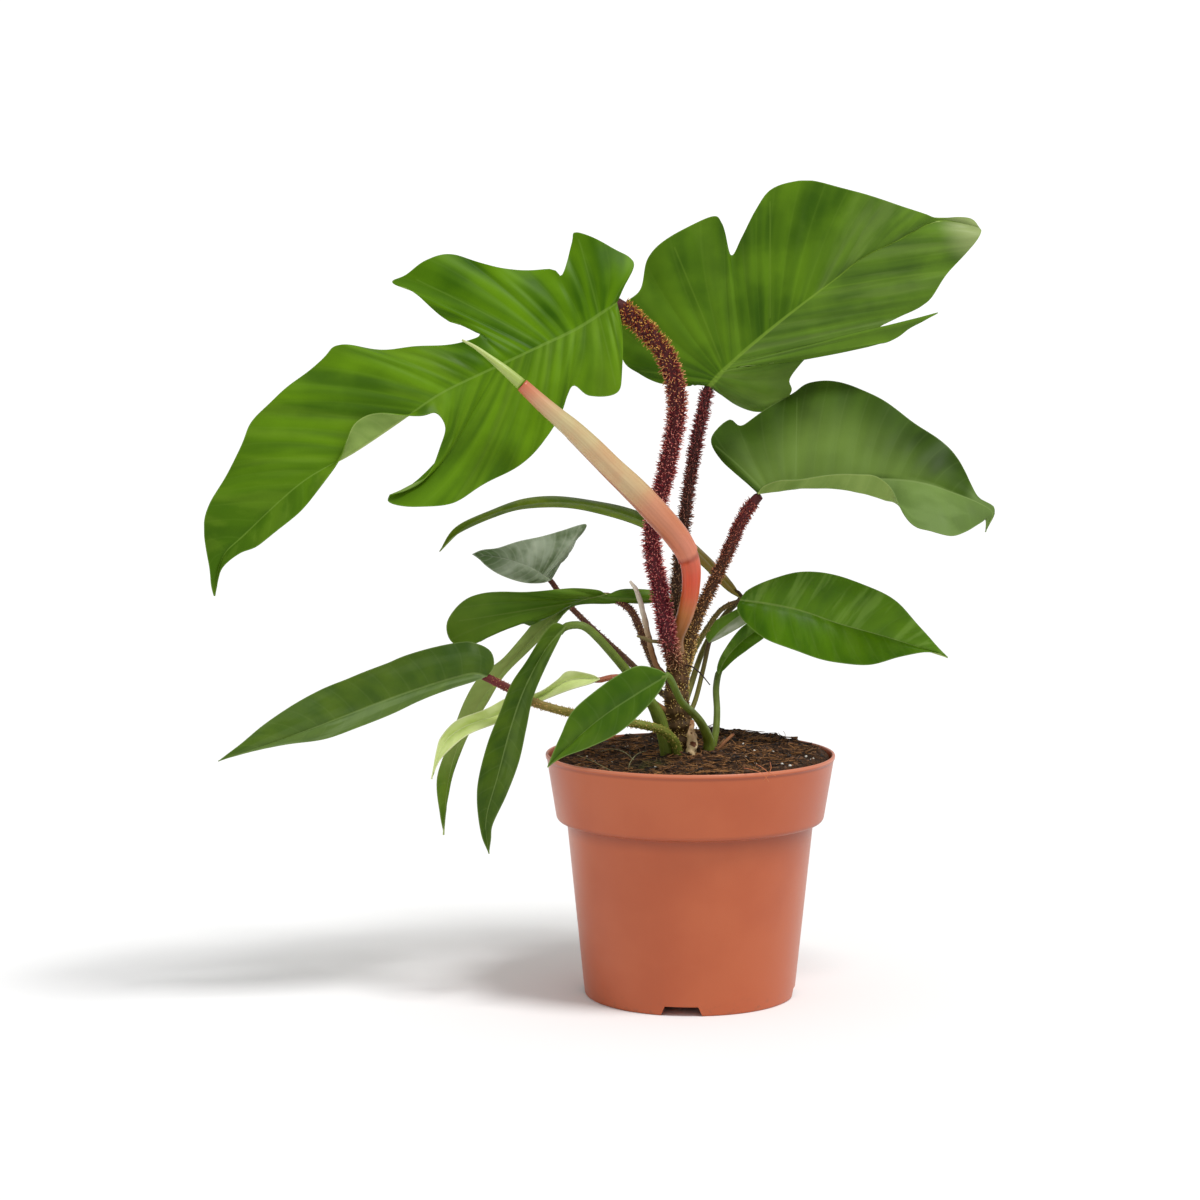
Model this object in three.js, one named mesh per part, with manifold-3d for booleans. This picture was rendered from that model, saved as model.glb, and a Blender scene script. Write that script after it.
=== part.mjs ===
// A potted Philodendron squamiferum.
// Millimetres, +Z up, +X right, +Y away from the viewer. The origin is the middle of the pot's foot.
import * as THREE from 'three';
import { mergeVertices } from 'three/addons/utils/BufferGeometryUtils.js';
import Module from 'manifold-3d';

const wasm = await Module();
wasm.setup();

// Pot
const potHeight = 143;
const rimRadius = 85;
const bandFootRadius = 79;
const bandFootHeight = 108;
const bodyTopRadius = 72.5;
const bodyTopHeight = 103;
const footRadius = 62;
const footFillet = 3;
const wall = 1.6;
const floorHeight = 6;
const bossRadius = 20;
const undersideSlope = 2;
const edgeRound = 1;
const bandRound = 3;
const notchHeight = 5.5;
const notchWidth = 24;
const notchReach = 20;
const notchCount = 4;
const notchTurn = THREE.MathUtils.degToRad(-96);
const drainRadius = 4;
const drainSides = 12;
const drainRing = 40;
const drainCount = 8;
const potSides = 44;

// Soil. It has as many sides as the pot, so that the gap to the wall is even.
const soilEdgeHeight = 134;
const soilEdgeBelowLip = 1.5;
const soilSides = potSides;
const soilClearance = 0.55;
const soilRadius = insideRadius(soilEdgeHeight) - soilClearance;
const soilRings = [0.93, 0.78, 0.58, 0.36, 0];
const soilLift = 4.5;
const soilRightRise = 5;
const soilFrontRise = 1.5;
const soilBackRise = 8.5;
const heapHeight = 6;
const heapWidth = 30;
const coarseLump = 0.7;
const coarseLumpLength = 27;
const fineLump = 0.5;
const fineLumpLength = 16;

// The inner wall's radius at a height within the rim band.
function insideRadius(height) {
  const share = (height - bandFootHeight) / (potHeight - bandFootHeight);
  return THREE.MathUtils.lerp(bandFootRadius, rimRadius, share) - wall;
}

// Leaves, stalks and gaps
const gap = 0.32;
const bladeThickness = 0.8;
const longestMarginStep = 16;
const rowsEachSide = 2;
const stalkSides = 6;
const stalkStep = 10;
const fewestSteps = 4;
const stemStep = 4.5;
const stemSides = 10;
const knobHeight = 0.8;
const knobSpacing = 9;
const bristleRadius = 0.5;
const bristleSides = 3;
const bristleRoot = 1.2;
const bristleStart = 0.16;
const bristleStretch = 0.8;
const bristleForward = 0.35;
const bristleScatter = 0.6;
const bristleTwist = 0.5;
const shortestBristle = 0.75;
const bristleSpread = 0.4;
const seatFoot = 0.3;
const seatTaper = 0.8;
const seatSink = 0.55;
const goldenTurn = Math.PI * (3 - Math.sqrt(5));
const weldReach = 1e-3;

// The seeded sequence
const drawFactor = 1664525;
const drawShift = 1013904223;
const drawRange = 2 ** 32;
const firstSeed = 101;

// The plant is laid out from its front view. A place there is a pixel of a picture 1200 pixels
// square, seen from an eye in front of the pot, and a depth in millimetres behind the pot's axis.
const pictureCentre = 600;
const eyeRight = -53;
const eyeDistance = 1650;
const eyeHeight = 392;
const eyePitch = THREE.MathUtils.degToRad(5.5);
const focalPixels = 1200 * 85 / 36;
const pixelsPerMillimetre = focalPixels / eyeDistance;

// Each blade has a rib, as pixel column, pixel row and depth. Its two edges are points with their
// foot on the rib (a place in the rib's list), pixel column, pixel row, millimetres nearer to the
// eye than the blade's plane, and millimetres that the blade sags half way. Lean is the depth
// gained for each millimetre up from the rib.
const blades = {
  left_large_blade: {
    colour: '#5f9a2c', lean: 0.4,
    rib: [[617, 302, -5], [580, 327, -12], [540, 346, -20], [500, 365, -28], [445, 391, -38],
      [410, 414, -45], [355, 451, -54], [302, 482, -62], [245, 534, -70], [222, 558, -73],
      [214, 596, -76]],
    near: [[0.08, 625, 285], [0.16, 634, 266], [0.26, 629, 256], [0.36, 612, 248], [0.5, 577, 232],
      [0.65, 572, 242], [0.95, 562, 276], [1.1, 550, 269], [1.4, 500, 269], [1.7, 455, 254],
      [1.82, 427, 261], [1.95, 406, 274], [2.05, 392, 281], [2.2, 410, 291], [2.45, 442, 315],
      [2.9, 477, 333], [3.15, 466, 341], [3.6, 395, 349], [4, 341, 346], [4.2, 322, 359],
      [4.9, 277, 397], [5.6, 252, 420], [6.1, 240, 450], [7.5, 210, 504], [8.1, 204, 532],
      [9, 209, 566], [9.6, 211, 585]],
    far: [[0.15, 622, 330], [0.3, 622, 372], [0.5, 617, 392], [0.8, 589, 396], [0.95, 572, 387],
      [1.3, 560, 415], [1.8, 532, 455], [2.4, 472, 492], [2.65, 445, 504], [2.85, 412, 508],
      [3, 388, 500], [3.15, 407, 491], [3.4, 427, 472], [3.7, 442, 450], [4, 446, 430],
      [4.5, 436, 414], [4.9, 420, 416, 3], [5.4, 380, 413, 9], [5.7, 357, 422, 10],
      [6.05, 346, 440, 8], [6.45, 336, 466, 2], [7.1, 302, 509], [7.7, 262, 543], [8.2, 240, 553],
      [8.9, 224, 566], [9.5, 218, 580]],
  },
  top_right_blade: {
    colour: '#4c8a2f', lean: 0.15,
    rib: [[709, 386, 36], [735, 360, 38], [770, 330, 41], [800, 306, 43], [835, 279, 46],
      [862, 257, 48], [897, 245, 50], [935, 230, 53], [981, 230, 60]],
    near: [[0.06, 690, 384], [0.12, 664, 384], [0.18, 640, 374], [0.24, 622, 358],
      [0.33, 620, 311], [0.42, 640, 290], [0.5, 648, 258], [0.62, 670, 237], [0.8, 710, 217],
      [0.95, 722, 224], [1.35, 731, 255], [1.6, 742, 237], [1.8, 755, 211], [2, 770, 190],
      [2.3, 793, 182], [2.7, 820, 182], [3.8, 880, 199], [5, 920, 210], [6.6, 958, 218]],
    far: [[0.15, 720, 394], [0.3, 737, 406], [0.5, 760, 411], [0.7, 782, 404], [0.85, 792, 391],
      [1.05, 790, 378], [1.6, 807, 356], [2, 830, 345], [2.6, 862, 344], [3, 884, 342],
      [3.3, 902, 331], [3.7, 937, 314], [4.1, 914, 311], [5, 932, 297], [5.8, 947, 274],
      [6.8, 968, 251]],
  },
  middle_right_blade: {
    colour: '#5b9434', lean: 0.85,
    rib: [[758, 493, 2], [800, 485, 3], [850, 480, 4], [890, 488, 4], [924, 500, 3], [950, 511, 2],
      [978, 515, 0], [986, 532, -4]],
    near: [[0.06, 740, 478], [0.12, 722, 460], [0.17, 711, 443], [0.22, 717, 430],
      [0.28, 730, 419], [0.36, 740, 425], [0.5, 754, 418], [0.85, 792, 393], [1.1, 812, 383],
      [1.8, 852, 385], [2.7, 898, 411], [4, 942, 443], [4.7, 958, 458], [5.4, 970, 480],
      [6.4, 994, 509]],
    far: [[0.2, 764, 486, 6, 2], [0.5, 780, 480, 12, 4], [1, 804, 479, 14, 4],
      [1.6, 838, 474, 16, 7], [2.1, 860, 474, 16, 10], [2.5, 875, 476, 16, 12],
      [2.9, 888, 486, 14, 12], [3.2, 899, 503, 10, 7], [3.6, 914, 525, 5, 2], [4, 930, 532],
      [4.6, 950, 536], [5.3, 962, 534], [6.2, 980, 525]],
  },
  small_grey_blade: {
    colour: '#8d9c77', lean: 0.3,
    rib: [[551, 580, 42], [530, 567, 42], [502, 558, 42], [472, 554, 43]],
    near: [[0.1, 561, 563], [0.18, 569, 546], [0.26, 580, 536], [0.34, 586, 524], [0.5, 562, 531],
      [0.8, 543, 536], [1.3, 520, 541], [2, 498, 548], [2.6, 482, 550]],
    far: [[0.3, 543, 583], [0.7, 528, 583], [1.1, 514, 580], [1.7, 498, 574], [2.3, 486, 566],
      [2.7, 479, 559]],
  },
  three_lobed_blade: {
    colour: '#587a3b', lean: 0.1,
    rib: [[606, 595, 14], [580, 601, 18], [558, 613, 24], [524, 648, 29], [498, 678, 31],
      [478, 706, 31], [460, 740, 29], [448, 785, 27], [444, 835, 25]],
    near: [[0.1, 598, 590, 2], [0.25, 574, 588, 5], [0.4, 544, 591, 10], [0.55, 500, 592, 13],
      [0.7, 466, 599, 14], [0.85, 447, 622, 14], [1, 453, 643, 14], [1.15, 478, 643, 14],
      [1.35, 504, 627, 12], [1.6, 530, 614, 7], [2.1, 536, 618], [3, 506, 655], [4, 480, 676],
      [5, 464, 702], [6, 450, 740], [7, 437, 778], [7.6, 440, 815]],
    far: [[0.1, 625, 589, -2], [0.2, 655, 591, -2], [0.3, 672, 600, -2], [0.45, 652, 603, -2],
      [0.7, 615, 603], [1.5, 574, 606], [2.1, 556, 624], [3, 530, 650], [4, 504, 676],
      [5, 488, 702], [6, 470, 732], [7, 453, 774], [7.6, 446, 812]],
  },
  hanging_blade: {
    colour: '#2f5a2a', lean: 0.1,
    rib: [[566, 626, -38], [545, 650, -40], [524, 690, -42], [510, 730, -43], [498, 775, -44],
      [486, 820, -43], [489, 854, -40]],
    near: [[0.15, 554, 623], [0.5, 542, 636], [1.1, 526, 662], [1.8, 511, 684], [2.5, 500, 712],
      [3.2, 488, 742], [3.9, 479, 776], [4.6, 477, 802], [5.3, 481, 834]],
    far: [[0.3, 562, 634], [1, 547, 664], [1.9, 533, 698], [2.8, 526, 730], [3.5, 519, 762],
      [4.3, 506, 796], [5.1, 493, 824], [5.6, 491, 840]],
  },
  low_left_blade: {
    colour: '#5e8f3a', lean: 0.35,
    rib: [[487, 676, -30], [470, 674, -31], [430, 685, -33], [380, 702, -36], [334, 720, -39],
      [280, 740, -43], [218, 761, -48]],
    near: [[0.2, 494, 666], [0.4, 491, 652], [0.8, 478, 644], [1.3, 460, 642], [2.1, 410, 654],
      [2.6, 385, 664], [3.2, 350, 678], [3.9, 318, 691], [4.7, 270, 720], [5.4, 241, 744]],
    far: [[0.6, 476, 681], [1.3, 450, 689], [2.1, 420, 701], [2.7, 394, 713], [3.4, 360, 727],
      [4.1, 325, 739], [4.8, 285, 745], [5.5, 250, 752]],
  },
  front_blade: {
    colour: '#3f7a2c', lean: 0.2,
    rib: [[668, 675, -60], [640, 692, -61], [605, 715, -62], [575, 740, -62], [547, 767, -60]],
    near: [[0.3, 657, 669], [0.8, 638, 666], [1.4, 618, 675], [2.1, 594, 692], [2.8, 572, 712],
      [3.3, 561, 735], [3.7, 552, 755]],
    far: [[0.4, 662, 688], [0.9, 647, 707], [1.6, 620, 732], [2.3, 590, 747], [3.1, 564, 757]],
  },
  young_folded_blade: {
    colour: '#a9ad4a', lean: 0.3,
    rib: [[600, 679, -15], [570, 680, -16], [538, 698, -17], [500, 714, -18], [464, 727, -19],
      [443, 745, -20], [431, 779, -20]],
    near: [[0.3, 590, 674, 2], [1, 568, 671, 3], [1.5, 556, 681, 3], [2, 537, 693, 3],
      [2.8, 509, 697, 3], [3.5, 486, 709, 3], [4.1, 457, 720, 2], [4.8, 441, 737, 2],
      [5.3, 436, 752]],
    far: [[0.4, 590, 684, 2], [1, 569, 690, 3], [1.9, 538, 703, 3], [2.9, 502, 721, 3],
      [3.9, 470, 734, 2], [4.8, 450, 749, 2], [5.4, 438, 763]],
  },
  low_right_blade: {
    colour: '#3c7a2c', lean: 0.4,
    rib: [[740, 600, 20], [770, 604, 20], [802, 611, 20], [840, 624, 20], [890, 638, 20],
      [948, 657, 22]],
    near: [[0.2, 748, 590], [0.7, 772, 579], [1.4, 800, 572], [2.2, 835, 575], [3, 867, 586],
      [3.6, 897, 602], [4.2, 920, 627], [4.6, 937, 646]],
    far: [[0.15, 737, 609], [0.5, 745, 622], [1, 767, 640], [1.8, 800, 652], [2.6, 832, 662],
      [3.3, 867, 665], [4.1, 900, 657], [4.6, 930, 652]],
  },
  long_back_blade: {
    colour: '#6d8f45', lean: 0,
    rib: [[741, 598, 56], [718, 573, 58], [690, 545, 60], [650, 524, 60], [600, 507, 60],
      [550, 502, 60], [504, 510, 59], [465, 527, 58], [439, 551, 56]],
    near: [[0.5, 732, 583, -6], [1.5, 708, 556, -10], [2.5, 672, 527, -11], [3.5, 630, 509, -11],
      [4.5, 575, 498, -11], [5.5, 528, 498, -10], [6.3, 490, 511, -7], [7.2, 456, 527, -4]],
    far: [[0.5, 727, 590, 6], [1.5, 700, 564, 9], [2.5, 667, 540, 10], [3.5, 625, 521, 10],
      [4.5, 577, 509, 10], [5.5, 528, 508, 9], [6.3, 492, 518, 6], [7.2, 457, 534, 3]],
  },
  edge_right_blade: {
    colour: '#7fa04a', lean: 0,
    rib: [[718, 675, 38], [726, 659, 40], [740, 643, 42], [758, 629, 43], [776, 614, 44]],
    near: [[0.5, 717, 667], [1.2, 723, 652], [2.1, 741, 628], [3.2, 764, 614]],
    far: [[0.5, 724, 670], [1.2, 734, 660], [2, 750, 648], [3, 769, 633]],
  },
  pale_back_blade: {
    colour: '#aeb98e', lean: 0,
    rib: [[709, 643, 32], [722, 629, 33], [742, 614, 34], [760, 604, 35]],
    near: [[0.3, 705, 634], [0.9, 713, 622], [1.8, 735, 610], [2.5, 750, 603]],
    far: [[0.4, 715, 641], [1, 730, 633], [1.9, 748, 622], [2.5, 757, 612]],
  },
};

// Each stalk has a route, as pixel column, pixel row, depth and radius, the number and length of
// its bristles or scales, and the blade that it carries.
const stalks = {
  left_large_stalk: {
    colour: '#a03a40', carries: 'left_large_blade', bristles: 84, bristleLength: 4.6,
    route: [[679, 672, -2, 3.2], [671, 652, -8, 3.6], [667, 636, -10, 3.8], [660, 590, -6, 4],
      [652, 535, 2, 4], [667, 468, 6, 4.2], [677, 405, 6, 4.4], [666, 356, 4, 4.6],
      [644, 329, 2, 4.4]],
  },
  top_right_stalk: {
    colour: '#9c3a3e', carries: 'top_right_blade', bristles: 54, bristleLength: 4,
    route: [[681, 660, 5, 2.6], [677, 642, 13, 3], [674, 618, 18, 3], [680, 560, 22, 2.9],
      [687, 500, 26, 2.8], [697, 440, 32, 2.8], [704, 405, 37, 2.8]],
  },
  middle_right_stalk: {
    colour: '#8e4038', carries: 'middle_right_blade', bristles: 50, bristleLength: 3.8,
    route: [[682, 676, 1, 3], [687, 655, 6, 3.2], [694, 625, 10, 3.2], [705, 600, 11, 3],
      [724, 560, 10, 3], [744, 516, 6, 2.9]],
  },
  small_grey_stalk: {
    colour: '#7c4a38', carries: 'small_grey_blade',
    route: [[674, 702, 3, 1.8], [656, 688, 14, 1.9], [626, 659, 30, 1.9], [594, 630, 40, 1.8],
      [566, 602, 44, 1.7]],
  },
  three_lobed_stalk: {
    colour: '#7c5034', carries: 'three_lobed_blade', bristles: 16, bristleLength: 1.8,
    route: [[674, 684, 2, 2.1], [656, 668, 8, 2.2], [641, 632, 13, 2.2], [632, 612, 16, 2.1],
      [619, 601, 17, 2]],
  },
  hanging_stalk: {
    colour: '#7a9a3e', carries: 'hanging_blade',
    route: [[668, 785, -9, 3.6], [666, 748, -9, 3.9], [659, 718, -11, 4.1], [648, 698, -17, 3],
      [626, 670, -28, 2.7], [600, 640, -34, 2.5], [583, 626, -36, 2.3]],
  },
  low_left_stalk: {
    colour: '#9a6a3a', carries: 'low_left_blade', bristles: 20, bristleLength: 1.8,
    route: [[679, 785, -12, 2.8], [678, 752, -12, 2.8], [672, 738, -16, 2.7], [656, 728, -22, 2.5],
      [620, 721, -27, 2.5], [572, 713, -30, 2.5], [536, 703, -31, 2.5], [510, 689, -30, 2.4]],
  },
  front_stalk: {
    colour: '#6f8a3c', carries: 'front_blade',
    route: [[708, 782, -2, 3.6], [709, 752, -2, 3.8], [708, 738, -4, 3.5], [701, 723, -14, 3.1],
      [692, 712, -26, 2.7], [681, 701, -42, 2.4]],
  },
  young_folded_stalk: {
    colour: '#c07a3a', carries: 'young_folded_blade',
    route: [[674, 716, 0, 1.9], [650, 700, -4, 1.9], [628, 680, -10, 1.8], [614, 677, -13, 1.7]],
  },
  low_right_stalk: {
    colour: '#5c5f30', carries: 'low_right_blade', bristles: 14, bristleLength: 1.4,
    route: [[680, 697, 3, 2], [685, 682, 11, 2.1], [692, 655, 19, 2.1], [706, 630, 23, 2],
      [722, 609, 23, 1.9]],
  },
  long_back_stalk: {
    colour: '#6d7a3c', carries: 'long_back_blade',
    route: [[682, 712, 5, 2.2], [690, 688, 26, 2.2], [704, 648, 42, 2.1], [724, 616, 53, 2]],
  },
  edge_right_stalk: {
    colour: '#6f9440', carries: 'edge_right_blade',
    route: [[713, 780, 9, 2], [713, 748, 9, 2.2], [716, 730, 13, 2.1], [717, 710, 20, 2],
      [716, 690, 30, 2]],
  },
  pale_back_stalk: {
    colour: '#6f7638', carries: 'pale_back_blade',
    route: [[682, 724, 6, 1.5], [694, 704, 18, 1.5], [703, 670, 28, 1.4]],
  },
  new_leaf_sheath: {
    colour: '#d8664a',
    route: [[679, 656, 2, 4], [677, 638, -2, 4.2], [686, 612, -7, 5], [691, 588, -12, 5.3],
      [690, 562, -18, 6.1], [679, 539, -24, 7.2], [655, 511, -33, 7.5], [634, 489, -40, 7.3],
      [612, 468, -46, 6.7], [592, 448, -51, 6.4], [573, 430, -55, 5.8], [554, 414, -58, 5],
      [538, 400, -59, 4.5], [522, 385, -60, 3.9]],
  },
  new_leaf_tip: {
    colour: '#a9bf62',
    route: [[521, 384, -60, 3.4], [505, 370, -60, 2.7], [490, 358, -59, 1.8], [475, 347, -58, 1.1],
      [462, 340, -57, 0.6]],
  },
  thin_sheath: {
    colour: '#d9a58e',
    route: [[672, 682, 0, 1.6], [656, 664, -1, 1.8], [648, 634, 1, 1.9], [643, 612, 2, 1.8],
      [637, 592, 3, 1.6], [630, 581, 4, 0.8]],
  },
  papery_sheath: {
    colour: '#e2d3b0',
    route: [[692, 775, -11, 2.8], [692, 748, -11, 3.2], [692, 736, -11, 3], [692, 720, -10, 0.9]],
  },
  tendril: {
    colour: '#9a7a4c',
    route: [[666, 642, -9, 1.2], [651, 641, -10, 1.2], [644, 638, -10, 1.1], [637, 636, -9, 0.7]],
  },
  twig: {
    colour: '#8a5a3a',
    route: [[708, 761, -8, 1.2], [718, 750, -7, 1.2], [726, 741, -6, 1.1], [734, 734, -5, 0.9]],
  },
  curled_root: {
    colour: '#3a2a20',
    route: [[680, 667, 0, 0.8], [690, 666, -5, 0.8], [700, 673, -8, 0.7], [710, 685, -8, 0.5]],
  },
};

// The stem rises from below the soil on a route of the same kind.
const stemRoute = [[684, 800, 2, 8.5], [683, 760, 2, 8.6], [679, 725, 2, 8.2], [676, 700, 2, 7],
  [677, 676, 2, 6.6], [678, 652, 2, 5.4]];

// A small fixed sequence, the same at each run, for the bristles' places.
function makeDraw(seed) {
  let state = seed;
  return () => {
    state = (state * drawFactor + drawShift) % drawRange;
    return state / drawRange;
  };
}

// The real place, in millimetres, of a pixel and a depth.
function place([column, row, depth]) {
  const across = (column - pictureCentre) / focalPixels;
  const upward = (pictureCentre - row) / focalPixels;
  const ahead = Math.cos(eyePitch) + upward * Math.sin(eyePitch);
  const rise = upward * Math.cos(eyePitch) - Math.sin(eyePitch);
  const reach = (depth + eyeDistance) / ahead;
  return new THREE.Vector3(eyeRight + reach * across, depth, eyeHeight + reach * rise);
}

function smoothCurve(points) {
  return new THREE.CatmullRomCurve3(points, false, 'catmullrom', 0.5);
}

function closedMesh(geometry) {
  const bare = new THREE.BufferGeometry();
  bare.setAttribute('position', geometry.getAttribute('position'));
  bare.setIndex(geometry.getIndex());
  return mergeVertices(bare, weldReach);
}

function solidOf(geometry) {
  const closed = closedMesh(geometry);
  return new wasm.Manifold(new wasm.Mesh({
    numProp: 3,
    vertProperties: new Float32Array(closed.getAttribute('position').array),
    triVerts: new Uint32Array(closed.getIndex().array),
  }));
}

function geometryOf(solid) {
  const { vertProperties, triVerts } = solid.getMesh();
  const geometry = new THREE.BufferGeometry();
  geometry.setAttribute('position', new THREE.BufferAttribute(vertProperties, 3));
  geometry.setIndex(new THREE.BufferAttribute(triVerts, 1));
  return geometry;
}

// What is left after a cut can fall apart. The largest body is the piece.
function largestBody(solid) {
  const bodies = solid.decompose();
  return bodies.reduce((best, body) => (body.volume() > best.volume() ? body : best));
}

function piece(name, geometry, colour, roughness = 0.6) {
  const material = new THREE.MeshStandardMaterial({ color: colour, roughness, metalness: 0 });
  const mesh = new THREE.Mesh(geometry, material);
  mesh.name = name;
  return mesh;
}

// A round bar along a route, as thick as the route says and fatter by what extra gives for a
// length along it.
function barGeometry(route, extra = () => 0, sides = stalkSides, stepLength = stalkStep) {
  const path = smoothCurve(route.map(place));
  const length = path.getLength();
  const steps = Math.max(fewestSteps, Math.round(length / stepLength));
  const section = new THREE.Shape();
  for (let side = 0; side < sides; side += 1) {
    const angle = 2 * Math.PI * side / sides;
    const corner = [Math.cos(angle), Math.sin(angle)];
    if (side === 0) section.moveTo(...corner);
    else section.lineTo(...corner);
  }
  const geometry = new THREE.ExtrudeGeometry(section, { steps, extrudePath: path });
  const shares = Array.from({ length: steps + 1 }, (_, step) => step / steps);
  const centres = shares.map((share) => path.getPointAt(share));
  const widths = shares.map((share) => radiusAt(route, path, share) + extra(share * length));
  const position = geometry.getAttribute('position');
  const point = new THREE.Vector3();
  for (let index = 0; index < position.count; index += 1) {
    point.fromBufferAttribute(position, index);
    const ring = nearestIndex(centres, point);
    point.sub(centres[ring]).multiplyScalar(widths[ring]).add(centres[ring]);
    position.setXYZ(index, point.x, point.y, point.z);
  }
  return closedMesh(geometry);
}

function radiusAt(route, path, share) {
  const spot = path.getUtoTmapping(share) * (route.length - 1);
  const start = Math.min(Math.floor(spot), route.length - 2);
  return THREE.MathUtils.lerp(route[start][3], route[start + 1][3], spot - start);
}

function nearestIndex(centres, point) {
  let best = 0;
  centres.forEach((centre, index) => {
    if (centre.distanceToSquared(point) < centres[best].distanceToSquared(point)) best = index;
  });
  return best;
}

// A three-sided needle with its root sunk in the stalk, pointing out and a little forward.
function bristle(path, share, turn, radius, length) {
  const centre = path.getPointAt(share);
  const forward = path.getTangentAt(share);
  const side = new THREE.Vector3(0, 1, 0).cross(forward).normalize();
  const out = side.applyAxisAngle(forward, turn);
  const aim = out.clone().addScaledVector(forward, bristleForward).normalize();
  const needle = new THREE.ConeGeometry(bristleRadius, length + bristleRoot, bristleSides);
  needle.translate(0, (length + bristleRoot) / 2, 0);
  const stand = new THREE.Quaternion().setFromUnitVectors(new THREE.Vector3(0, 1, 0), aim);
  needle.applyQuaternion(stand);
  const root = centre.clone().addScaledVector(out, radius - bristleRoot);
  needle.translate(root.x, root.y, root.z);
  return needle;
}

// The needles of a stalk, turned by the golden angle from one to the next, each a little uneven.
function bristlesOf(stalk, seed) {
  const draw = makeDraw(seed);
  const route = routeOf(stalk);
  const path = smoothCurve(route.map(place));
  const needles = [];
  for (let index = 0; index < (stalk.bristles ?? 0); index += 1) {
    const step = (index + bristleScatter * draw()) / stalk.bristles;
    const share = bristleStart + bristleStretch * step;
    const turn = index * goldenTurn + bristleTwist * draw();
    const length = stalk.bristleLength * (shortestBristle + bristleSpread * draw());
    needles.push(solidOf(bristle(path, share, turn, radiusAt(route, path, share), length)));
  }
  return needles;
}

// A stalk's top runs a little way along the underside of the rib of the blade that it carries.
function routeOf({ route, carries }) {
  if (!carries) return route;
  const { rib, lean } = blades[carries];
  const ribPixels = smoothCurve(rib.map((reading) => new THREE.Vector3(...reading)));
  const radius = route.at(-1)[3];
  const seat = [[0, radius], [seatFoot, seatTaper * radius]].map(([foot, thickness]) => {
    const { x, y, z } = ribPixels.getPoint(foot / (rib.length - 1));
    const under = (bladeThickness / 2 + seatSink * thickness) / Math.hypot(1, lean);
    return [x, y + lean * under * pixelsPerMillimetre, z + under, thickness];
  });
  return [...route, ...seat];
}

// One edge of a blade as a curve from end to end of its rib, with the feet of its points and the
// sag half way.
function edgeOf(blade, readings) {
  const last = blade.rib.length - 1;
  const ribPixels = smoothCurve(blade.rib.map((reading) => new THREE.Vector3(...reading)));
  const inner = readings.map(([foot, column, row, nearer = 0]) => {
    const ribPixel = ribPixels.getPoint(foot / last);
    const climb = (ribPixel.y - row) / pixelsPerMillimetre;
    return place([column, row, ribPixel.z + blade.lean * climb - nearer]);
  });
  return {
    feet: [0, ...readings.map(([foot]) => foot), last],
    sags: [0, ...readings.map(([, , , , sag = 0]) => sag), 0],
    curve: smoothCurve([place(blade.rib[0]), ...inner, place(blade.rib[last])]),
  };
}

function edgeAt(edge, foot) {
  const count = edge.feet.length;
  let start = 0;
  while (start < count - 2 && edge.feet[start + 1] <= foot) start += 1;
  const span = edge.feet[start + 1] - edge.feet[start];
  const share = THREE.MathUtils.clamp((foot - edge.feet[start]) / span, 0, 1);
  return {
    point: edge.curve.getPoint((start + share) / (count - 1)),
    sag: THREE.MathUtils.lerp(edge.sags[start], edge.sags[start + 1], share),
  };
}

// The feet of a blade's columns: those of both edges, with one more half way in each long step.
function columnFeet(edges) {
  const feet = [...new Set([...edges[0].feet, ...edges[1].feet])].sort((a, b) => a - b);
  return feet.flatMap((foot, index) => {
    if (index === 0) return [foot];
    const before = feet[index - 1];
    const steps = edges.map((edge) => edgeAt(edge, foot).point.distanceTo(edgeAt(edge, before).point));
    return Math.max(...steps) > longestMarginStep ? [(before + foot) / 2, foot] : [foot];
  });
}

// The blade's front sheet: a grid whose columns run along the rib and whose rows run from one edge
// over the rib to the other edge.
function sheetGeometry(blade) {
  const last = blade.rib.length - 1;
  const rib = smoothCurve(blade.rib.map(place));
  const edges = [edgeOf(blade, blade.near), edgeOf(blade, blade.far)];
  const feet = columnFeet(edges);
  const sheet = new THREE.PlaneGeometry(1, 1, feet.length - 1, 2 * rowsEachSide);
  const position = sheet.getAttribute('position');
  for (let index = 0; index < position.count; index += 1) {
    const foot = feet[index % feet.length];
    const row = Math.floor(index / feet.length) - rowsEachSide;
    const { point, sag } = edgeAt(edges[row < 0 ? 0 : 1], foot);
    const share = Math.abs(row) / rowsEachSide;
    const spot = rib.getPoint(foot / last).lerp(point, share);
    spot.z -= sag * 4 * share * (1 - share);
    position.setXYZ(index, spot.x, spot.y, spot.z);
  }
  return closedMesh(sheet);
}

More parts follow.
